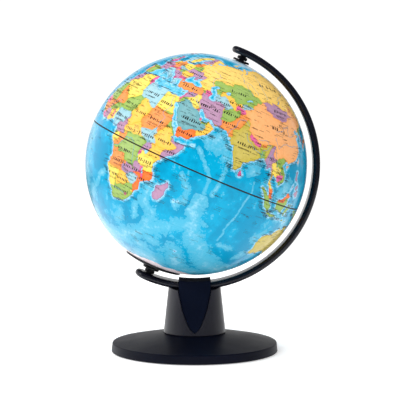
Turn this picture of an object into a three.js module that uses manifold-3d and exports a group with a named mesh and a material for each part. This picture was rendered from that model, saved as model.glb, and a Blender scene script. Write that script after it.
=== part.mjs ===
// Desktop globe: a ball on a tilted polar axis, held by a C-shaped arm on a cone column
// and a round weighted base. Millimetres, +Z up, origin at the centre of the desk face.
// The polar axis lies in the XZ plane with the north pole towards +X.
import * as THREE from 'three';
import { mergeVertices } from 'three/addons/utils/BufferGeometryUtils.js';
import Module from 'manifold-3d';

const wasm = await Module();
wasm.setup();

// ---- driving dimensions -------------------------------------------------------------
const GAP = 0.3;                 // clearance between neighbouring pieces
const TILT = THREE.MathUtils.degToRad(23.5);

const BALL_R = 100;              // outside radius of the ball
const SHELL_T = 1.6;             // wall of each hemisphere
const HUB_Z = 171.2;             // point above the desk that the ball and the arm are set out from
const BALL_SHIFT = 1.6;          // ball centre sits this far from it, away from the arm's open side
const ARM_SHIFT = 0.85;          // arm centre sits this far from it, towards the south pole
const RIB_HALF = 0.4;            // half height of the dark rib that shows at the equator
const RING_HALF = 5;             // half height of the joining ring inside the ball
const RING_OUT = 97.3;
const RING_IN = 95.3;
const POLE_HOLE_R = 5.3;
const BALL_SEGMENTS = 56;

const ARM_IN = 107;              // inner radius of the arm
const ARM_T = 6.2;               // thickness, measured along its radius
const ARM_DEPTH = 24;            // width of the strip, along Y
const ARM_END = THREE.MathUtils.degToRad(89.1);
const ARM_STATIONS = 52;
const PEG_HOLE_R = 3.1;
const PEG_HOLE_DEPTH = 4.2;

const COLLAR_FLANGE_R = 7.7;     // small disc lying on the ball at each pole
const COLLAR_FLANGE_T = 1.9;
const COLLAR_SLEEVE_R = 4.9;
const COLLAR_BORE_R = 2.6;
const COLLAR_END = 92.6;         // inner end of the sleeve, from the ball's centre
const NUT_R = 8.6;
const NUT_FROM = 94.2;
const NUT_TO = 97;
const CAP_ANGLE = THREE.MathUtils.degToRad(15.4);
const CAP_T = 1.4;               // big round cap over the south pole
const CAP_BEVEL = 0.007;         // slope of its rim, as an angle at the ball's centre

const POST_R = 4.4;              // neck between arm and ball
const POST_BEAD_R = 4.9;
const POST_TOP = 106.4;
const POST_PEG_R = 2.8;
const POST_PEG_TOP = 110.6;
const POST_PIN_R = 2.5;
const POST_PIN_END = 93.4;

const BASE_R = 75.6;             // base disc at the desk
const BASE_RIM_R = 74.9;         // and under its rounded rim
const BASE_RIM_Z = 8.75;
const BASE_EDGE = 1.1;
const BASE_WALL = 2.4;
const BASE_FOOT_Z = 0.6;
const PLATE_R = 28.4;            // flat seat for the column
const PLATE_Z = 17.3;
const SPIGOT_R = 20.8;
const SPIGOT_T = 1.6;
const SPIGOT_H = 2.7;
const BASE_SEGMENTS = 64;

const PAD_R = 70;
const PAD_T = 1.5;
const COVER_R = 72.5;
const COVER_T = 2.5;
const BALLAST_R = 56;
const BALLAST_BORE_R = 12;
const BALLAST_T = 4.6;
const COVER_SCREW_CIRCLE = 64;
const COLUMN_SCREW_CIRCLE = 15;

const COLUMN_FOOT_R = 28.2;      // cone column
const COLUMN_TOP_R = 23.6;
const COLUMN_TOP_Z = 60;
const COLUMN_WALL = 2.6;
const CEILING_Z = 50;

const CLIP_TOP_Y = 14;           // half depth of the clip where it crosses the arm
const CLIP_TOP_Z = 65;
const CLIP_LEAN = Math.tan(THREE.MathUtils.degToRad(17));
const CLIP_T = 3;                // legs
const CLIP_BRIDGE_T = 1.5;       // bridge over the arm
const CLIP_HALF_W = 14.4;
const CLIP_TIP_Z = 20.4;
const SNAP_Z = 40;
const SNAP_R = 2.5;

// ---- derived ------------------------------------------------------------------------
const ARM_OUT = ARM_IN + ARM_T;
const ARM_MID = ARM_IN + ARM_T / 2;
const polar = new THREE.Vector3(Math.sin(TILT), 0, Math.cos(TILT));
const midArc = new THREE.Vector3(Math.cos(TILT), 0, -Math.sin(TILT));
const hub = new THREE.Vector3(0, 0, HUB_Z);
const armCentre = hub.clone().addScaledVector(polar, -ARM_SHIFT);
const ballCentre = hub.clone().addScaledVector(midArc, BALL_SHIFT);
const ballFrame = new THREE.Matrix4().makeRotationY(TILT).setPosition(ballCentre);
const coverTop = PAD_T + GAP + COVER_T;
const coverSeatZ = coverTop - 0.6;   // floor of the recess round each cover screw

// ---- geometry helpers ---------------------------------------------------------------
const toZ = new THREE.Matrix4().makeRotationX(Math.PI / 2);

// Closed triangle mesh -> manifold, with doubled corners and empty triangles dropped.
function solid(geometry) {
  const source = geometry.clone();
  source.deleteAttribute('normal');
  source.deleteAttribute('uv');
  const welded = mergeVertices(source, 1e-4);
  const at = welded.getAttribute('position');
  const corners = [0, 1, 2].map(() => new THREE.Vector3());
  const faces = [];
  let volume = 0;
  for (let i = 0; i < welded.index.count; i += 3) {
    const ids = [0, 1, 2].map((k) => welded.index.getX(i + k));
    if (new Set(ids).size < 3) continue;
    ids.forEach((id, k) => corners[k].fromBufferAttribute(at, id));
    volume += corners[0].dot(corners[1].clone().cross(corners[2]));
    faces.push(ids);
  }
  const triVerts = Uint32Array.from(faces.flatMap((f) => (volume < 0 ? [f[0], f[2], f[1]] : f)));
  const vertProperties = Float32Array.from(at.array);
  return new wasm.Manifold(new wasm.Mesh({ numProp: 3, vertProperties, triVerts }));
}

// Profile of [radius, height] pairs turned about Z.
function turned(profile, segments) {
  const points = [...profile, profile[0]].map(([r, z]) => new THREE.Vector2(r, z));
  return new THREE.LatheGeometry(points, segments).applyMatrix4(toZ);
}

function rod(radius, from, to, segments = 20) {
  return turned([[0, from], [radius, from], [radius, to], [0, to]], segments);
}

function rodAt(radius, from, to, x, y, segments = 20) {
  return solid(rod(radius, from, to, segments).translate(x, y, 0));
}

// Flat shape drawn in X (or Y) and Z, extruded evenly to both sides.
function slabAlongY(shape, depth) {
  return new THREE.ExtrudeGeometry(shape, { depth, bevelEnabled: false, curveSegments: 10 })
    .translate(0, 0, -depth / 2).applyMatrix4(toZ);
}

function slabAlongX(points, depth) {
  const shape = new THREE.Shape(points.map(([y, z]) => new THREE.Vector2(y, z)));
  const turn = new THREE.Matrix4().makeBasis(
    new THREE.Vector3(0, 1, 0), new THREE.Vector3(0, 0, 1), new THREE.Vector3(1, 0, 0));
  return new THREE.ExtrudeGeometry(shape, { depth, bevelEnabled: false })
    .translate(0, 0, -depth / 2).applyMatrix4(turn);
}

// Cylinder along Y about the centre of the arm's circle.
function armCylinder(radius) {
  const cylinder = new THREE.CylinderGeometry(radius, radius, 90, 120);
  return solid(cylinder.translate(armCentre.x, armCentre.y, armCentre.z));
}

function arcPoints(cx, cz, radius, from, to, steps) {
  return Array.from({ length: steps + 1 }, (_, i) => {
    const a = from + ((to - from) * i) / steps;
    return [cx + radius * Math.cos(a), cz + radius * Math.sin(a)];
  });
}

function curvePoints(curve, steps) {
  return curve.getPoints(steps).map((p) => [p.x, p.y]);
}

const flip = (profile, side) => profile.map(([r, z]) => [r, z * side]);

// ---- materials and assembly ---------------------------------------------------------
const colours = {
  map_print: 0x2aa9d6, stand_plastic: 0x14161f, clip_plastic: 0x10131d, pole_plastic: 0x0d0e12,
  rib_plastic: 0x2b2118, steel: 0x8d9196, ballast_steel: 0x5f6266, pad_foam: 0x16171a,
};
const paint = Object.fromEntries(Object.entries(colours).map(([slot, color]) => [
  slot, new THREE.MeshStandardMaterial({ name: slot, color, roughness: 0.5 })]));
const group = new THREE.Group();
group.name = 'desktop_globe';

function add(name, slot, body) {
  const manifold = body.getMesh ? body : solid(body);
  const mesh = manifold.getMesh();
  const geometry = new THREE.BufferGeometry();
  geometry.setAttribute('position', new THREE.Float32BufferAttribute(mesh.vertProperties, 3));
  geometry.setIndex(new THREE.Uint32BufferAttribute(mesh.triVerts, 1));
  geometry.computeVertexNormals();
  const node = new THREE.Mesh(geometry, paint[slot]);
  node.name = name;
  group.add(node);
}

const onAxis = (geometry) => geometry.applyMatrix4(ballFrame);

// ---- ball ---------------------------------------------------------------------------
const quarter = Math.PI / 2;
const seam = RIB_HALF + 0.2;
const poleTurn = (radius) => Math.acos(POLE_HOLE_R / radius);
const shellIn = BALL_R - SHELL_T;
const shellProfile = [
  ...arcPoints(0, 0, BALL_R, Math.asin(seam / BALL_R), poleTurn(BALL_R), 9),
  ...arcPoints(0, 0, shellIn, poleTurn(shellIn), Math.asin(seam / shellIn), 4),
];
add('north_hemisphere', 'map_print', onAxis(turned(shellProfile, BALL_SEGMENTS)));
add('south_hemisphere', 'map_print', onAxis(turned(flip(shellProfile, -1), BALL_SEGMENTS)));
add('equator_ring', 'rib_plastic', onAxis(turned([
  [RING_IN, -RING_HALF], [RING_OUT, -RING_HALF], [RING_OUT, -RIB_HALF],
  [BALL_R + 0.1, -RIB_HALF], [BALL_R + 0.1, RIB_HALF], [RING_OUT, RIB_HALF],
  [RING_OUT, RING_HALF], [RING_IN, RING_HALF]], BALL_SEGMENTS)));

const capIn = BALL_R + GAP;
const capOut = capIn + CAP_T;
const capTurn = quarter - CAP_ANGLE;
add('south_pole_cap', 'pole_plastic', onAxis(turned(flip([
  ...arcPoints(0, 0, capOut, poleTurn(capOut), capTurn + CAP_BEVEL, 4),
  ...arcPoints(0, 0, capIn, capTurn, poleTurn(capIn), 3)], -1), 40)));

const poles = [
  { name: 'north', side: 1, seat: BALL_R + GAP },
  { name: 'south', side: -1, seat: capOut + GAP },
];
for (const { name, side, seat } of poles) {
  const flangeTop = seat + COLLAR_FLANGE_T;
  const collar = [
    [COLLAR_BORE_R, COLLAR_END], [COLLAR_SLEEVE_R, COLLAR_END], [COLLAR_SLEEVE_R, seat],
    [COLLAR_FLANGE_R, seat], [COLLAR_FLANGE_R, flangeTop - 0.6],
    [COLLAR_FLANGE_R - 0.6, flangeTop], [COLLAR_BORE_R, flangeTop]];
  add(`${name}_pole_collar`, 'pole_plastic', onAxis(turned(flip(collar, side), 32)));
  const nut = [[COLLAR_SLEEVE_R + 0.1, NUT_FROM], [NUT_R, NUT_FROM], [NUT_R, NUT_TO],
    [COLLAR_SLEEVE_R + 0.1, NUT_TO]];
  add(`${name}_collar_nut`, 'stand_plastic', onAxis(turned(flip(nut, side), 20)));
  const neck = flangeTop + GAP;
  const stop = POST_TOP - side * ARM_SHIFT;
  const pegTop = POST_PEG_TOP - side * ARM_SHIFT;
  const bead = (neck + stop) / 2;
  const post = [
    [0, POST_PIN_END], [POST_PIN_R - 0.5, POST_PIN_END], [POST_PIN_R, POST_PIN_END + 0.5],
    [POST_PIN_R, neck], [POST_R, neck], [POST_R, bead - 0.5], [POST_BEAD_R, bead],
    [POST_R, bead + 0.5], [POST_R, stop], [POST_PEG_R, stop],
    [POST_PEG_R, pegTop], [0, pegTop]];
  add(`${name}_pivot_post`, 'stand_plastic', onAxis(turned(flip(post, side), 28)));
}

// ---- arm: a flat strip with a full-round edge, bent round the ball --------------------
function armStrip() {
  const edge = ARM_T / 2;
  const flat = ARM_DEPTH / 2 - edge;
  const half = [[0, -edge], ...arcPoints(flat, 0, edge, -quarter, quarter, 5), [0, edge]];
  const spokes = [];
  const along = (i) => -ARM_END + (2 * ARM_END * i) / ARM_STATIONS;
  for (let i = 0; i <= ARM_STATIONS; i += 1) spokes.push([along(i), 0]);
  for (let i = 1; i < 8; i += 1) spokes.push([ARM_END, (Math.PI * i) / 8]);
  for (let i = ARM_STATIONS; i >= 0; i -= 1) spokes.push([along(i), Math.PI]);
  for (let i = 1; i < 8; i += 1) spokes.push([-ARM_END, Math.PI + (Math.PI * i) / 8]);
  const position = [];
  for (const [foot, turn] of spokes) {
    for (const [reach, height] of half) {
      const angle = foot + (reach * Math.sin(turn)) / ARM_MID;
      const p = armCentre.clone()
        .addScaledVector(midArc, (ARM_MID + height) * Math.cos(angle))
        .addScaledVector(polar, (ARM_MID + height) * Math.sin(angle));
      position.push(p.x, p.y + reach * Math.cos(turn), p.z);
    }
  }
  const index = [];
  spokes.forEach((_, k) => {
    const a = k * half.length;
    const b = ((k + 1) % spokes.length) * half.length;
    for (let j = 0; j < half.length - 1; j += 1) {
      index.push(a + j, b + j, b + j + 1, a + j, b + j + 1, a + j + 1);
    }
  });
  const geometry = new THREE.BufferGeometry();
  geometry.setAttribute('position', new THREE.Float32BufferAttribute(position, 3));
  return solid(geometry.setIndex(index));
}

const screwSeatZ = armCentre.z - ARM_IN - 2.7;
const armScrewTip = 47.4;
let arm = armStrip();
for (const side of [1, -1]) {
  const mouth = ARM_IN - side * ARM_SHIFT - 3;
  const floor = mouth + 3 + PEG_HOLE_DEPTH;
  const hole = flip([[0, mouth], [PEG_HOLE_R, mouth], [PEG_HOLE_R, floor], [0, floor]], side);
  arm = arm.subtract(solid(onAxis(turned(hole, 32))));
}
arm = arm.subtract(rodAt(2.3, 50, 70, 0, 0)).subtract(rodAt(4.2, screwSeatZ, 70, 0, 0, 32));
add('meridian_arm', 'stand_plastic', arm);

// Screw with a round head; `head` is the seat under the head, `aim` +1 points the tip up.
function screw(name, shank, headR, headT, head, tip, x, y) {
  const aim = Math.sign(tip - head);
  const profile = [[0, head - aim * headT], [headR * 0.75, head - aim * headT],
    [headR, head - aim * headT * 0.6], [headR, head], [shank, head],
    [shank, tip - aim * shank], [0, tip]];
  add(name, 'steel', turned(profile, 14).translate(x, y, 0));
}
screw('arm_screw', 2, 3.8, 2.1, screwSeatZ + GAP, armScrewTip, 0, 0);

// ---- saddle clip and column ---------------------------------------------------------
const clipFace = (z) => CLIP_TOP_Y + (CLIP_TOP_Z - z) * CLIP_LEAN;

// Everything between the two leaning faces, moved inwards by `inset`.
function wedge(inset) {
  const high = 72;
  const low = 10;
  return solid(slabAlongX([
    [-clipFace(high) + inset, high], [-clipFace(low) + inset, low],
    [clipFace(low) - inset, low], [clipFace(high) - inset, high]], 80));
}

// Pointed shield outline of the clip, seen from the front.
function clipPrism(grow) {
  const side = [[1, 55.4], [0.9, 49.5], [0.757, 40.6], [0.542, 31.9], [0.34, 25.5], [0.17, 22.1]];
  const right = side.map(([w, z]) => new THREE.Vector2(w * CLIP_HALF_W + grow, z));
  const left = right.map((p) => new THREE.Vector2(-p.x, p.y)).reverse();
  const shape = new THREE.Shape();
  shape.moveTo(-CLIP_HALF_W - grow, 72);
  shape.lineTo(CLIP_HALF_W + grow, 72);
  shape.lineTo(right[0].x, right[0].y);
  shape.splineThru(right.slice(1));
  shape.lineTo(0, CLIP_TIP_Z - grow);
  shape.lineTo(left[0].x, left[0].y);
  shape.splineThru(left.slice(1));
  return solid(slabAlongY(shape, 80));
}

const slot = solid(new THREE.BoxGeometry(60, ARM_DEPTH + 2 * GAP, 40).translate(0, 0, 62));
let clip = clipPrism(0).intersect(wedge(0))
  .subtract(armCylinder(ARM_IN - GAP - CLIP_BRIDGE_T))
  .subtract(slot.subtract(armCylinder(ARM_IN - GAP)))
  .subtract(wedge(CLIP_T).subtract(armCylinder(ARM_OUT)));
const snap = (radius, from, to, side) => {
  const y = clipFace(SNAP_Z);
  const bar = rod(radius, y - to, y - from, 16).applyMatrix4(toZ);
  return solid(bar.scale(1, side, 1).translate(0, 0, SNAP_Z));
};
for (const side of [1, -1]) clip = clip.add(snap(SNAP_R, CLIP_T / 2, CLIP_T + 2.4, side));
add('saddle_clip', 'clip_plastic', clip);

const columnFootZ = PLATE_Z + GAP;
const flare = (COLUMN_FOOT_R - COLUMN_TOP_R) / (COLUMN_TOP_Z - columnFootZ);
const coneR = (z) => COLUMN_FOOT_R - (z - columnFootZ) * flare;
const coneTop = COLUMN_TOP_Z + 6;
let column = solid(turned([
  [0, columnFootZ], [COLUMN_FOOT_R - 0.5, columnFootZ], [COLUMN_FOOT_R, columnFootZ + 0.5],
  [coneR(coneTop), coneTop], [0, coneTop]], 60));
const cavity = solid(turned([
  [0, columnFootZ - 1], [coneR(columnFootZ) - COLUMN_WALL, columnFootZ - 1],
  [coneR(CEILING_Z) - COLUMN_WALL, CEILING_Z], [0, CEILING_Z]], 36))
  .intersect(wedge(CLIP_T + GAP + COLUMN_WALL));
const screwSpots = [0, 1, 2].map((k) => {
  const a = (k * 2 * Math.PI) / 3;
  return [COLUMN_SCREW_CIRCLE * Math.cos(a), COLUMN_SCREW_CIRCLE * Math.sin(a)];
});
column = column.subtract(cavity).add(rodAt(5, armScrewTip - 3, CEILING_Z + 1, 0, 0));
for (const [x, y] of screwSpots) {
  column = column.add(rodAt(3.6, columnFootZ, CEILING_Z + 1, x, y))
    .subtract(rodAt(1.8, columnFootZ - 1, 31, x, y, 14));
}
column = column.subtract(armCylinder(ARM_OUT + GAP))
  .subtract(clipPrism(GAP).subtract(wedge(CLIP_T + GAP)))
  .subtract(rodAt(2.3, armScrewTip - 1, 70, 0, 0));
for (const side of [1, -1]) {
  column = column.subtract(snap(SNAP_R + GAP, CLIP_T - 0.5, CLIP_T + COLUMN_WALL + 2, side));
}
add('column', 'stand_plastic', column);
screwSpots.forEach(([x, y], k) => {
  screw(`column_screw_${k + 1}`, 1.5, 3, 1.9, PLATE_Z - BASE_WALL - GAP, 29, x, y);
});

// ---- base ---------------------------------------------------------------------------
const dome = (drop, from, to, steps) => curvePoints(new THREE.QuadraticBezierCurve(
  new THREE.Vector2(from, BASE_RIM_Z - drop), new THREE.Vector2((from + to) / 2, 13.6 - drop),
  new THREE.Vector2(to, PLATE_Z - drop)), steps);
const edgeR = BASE_RIM_R - BASE_EDGE;
let baseShell = solid(turned([
  [BASE_R, BASE_FOOT_Z],
  ...arcPoints(edgeR, BASE_RIM_Z - BASE_EDGE, BASE_EDGE, 0, quarter, 3).slice(0, -1),
  ...dome(0, edgeR, PLATE_R, 4),
  [SPIGOT_R, PLATE_Z], [SPIGOT_R, PLATE_Z + SPIGOT_H],
  [SPIGOT_R - SPIGOT_T, PLATE_Z + SPIGOT_H], [SPIGOT_R - SPIGOT_T, PLATE_Z],
  [0, PLATE_Z], [0, PLATE_Z - BASE_WALL],
  ...dome(BASE_WALL, edgeR - 0.8, PLATE_R, 2).reverse(),
  [COVER_R + 0.4, BASE_FOOT_Z]], BASE_SEGMENTS));
const coverSpots = [1, 3, 5].map((k) => {
  const a = (k * Math.PI) / 3;
  return [COVER_SCREW_CIRCLE * Math.cos(a), COVER_SCREW_CIRCLE * Math.sin(a)];
});
for (const [x, y] of coverSpots) {
  baseShell = baseShell.add(rodAt(4, coverTop + GAP, BASE_RIM_Z + 0.6, x, y))
    .subtract(rodAt(1.7, coverTop, BASE_RIM_Z + 0.1, x, y, 14));
}
for (const [x, y] of screwSpots) {
  baseShell = baseShell.subtract(rodAt(1.9, 10, PLATE_Z + 1, x, y, 14));
}
add('base_shell', 'stand_plastic', baseShell);

let cover = solid(rod(COVER_R, PAD_T + GAP, coverTop, BASE_SEGMENTS));
for (const [x, y] of coverSpots) {
  cover = cover.subtract(rodAt(1.7, 0, 6, x, y, 14)).subtract(rodAt(3.2, 0, coverSeatZ, x, y));
}
add('base_cover', 'stand_plastic', cover);
coverSpots.forEach(([x, y], k) => {
  screw(`cover_screw_${k + 1}`, 1.4, 2.9, 1.5, coverSeatZ - GAP, BASE_RIM_Z - 0.3, x, y);
});
add('base_ballast', 'ballast_steel', turned([
  [BALLAST_BORE_R, coverTop + GAP], [BALLAST_R, coverTop + GAP],
  [BALLAST_R, coverTop + GAP + BALLAST_T], [BALLAST_BORE_R, coverTop + GAP + BALLAST_T]], 40));
add('base_pad', 'pad_foam', turned([
  [0, 0], [PAD_R - 0.4, 0], [PAD_R, 0.4], [PAD_R, PAD_T], [0, PAD_T]], BASE_SEGMENTS));

export default group;
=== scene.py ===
"""Desktop globe on a tilted stand: printed world-map skins, smooth stand finishes, soft studio light.

Everything is in metres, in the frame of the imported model: +Z up, the table at z = 0, the viewer on the -Y side.
"""
import math
import random

import bmesh
import bpy
import numpy as np
from mathutils import Matrix, Vector, kdtree


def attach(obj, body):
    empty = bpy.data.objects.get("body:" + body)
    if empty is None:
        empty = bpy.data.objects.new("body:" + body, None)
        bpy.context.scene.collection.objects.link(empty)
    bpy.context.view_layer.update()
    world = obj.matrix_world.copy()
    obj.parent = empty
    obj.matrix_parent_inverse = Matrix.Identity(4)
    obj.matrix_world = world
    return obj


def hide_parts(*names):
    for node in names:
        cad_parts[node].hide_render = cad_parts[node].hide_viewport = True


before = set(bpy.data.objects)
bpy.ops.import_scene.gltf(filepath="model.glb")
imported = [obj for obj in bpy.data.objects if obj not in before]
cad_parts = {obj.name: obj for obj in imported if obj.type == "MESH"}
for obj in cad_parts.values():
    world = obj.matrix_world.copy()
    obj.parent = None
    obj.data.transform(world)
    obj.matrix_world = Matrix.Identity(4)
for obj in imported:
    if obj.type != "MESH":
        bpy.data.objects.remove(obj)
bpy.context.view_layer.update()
MM = 0.001

# ---------------------------------------------------------------- the ball's place, as in the CAD source
TILT = math.radians(23.5)
BALL_CENTRE = Vector((1.4673, 0, 170.5620)) * MM
BALL_R = 100.0
MM_PER_DEGREE = 1.745  # along the surface of the ball
SKIN_R = 100.05  # the printed skins
INK_R = 100.085  # and the marks on them
SEAM_Z = 0.6  # the skins stop this far from the equator
POLE_HOLE_R = 5.2
FRONT_LON = 60.3  # the longitude that faces the viewer
BALL_FRAME = Matrix.Translation(BALL_CENTRE) @ Matrix.Rotation(TILT, 4, "Y")

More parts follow.
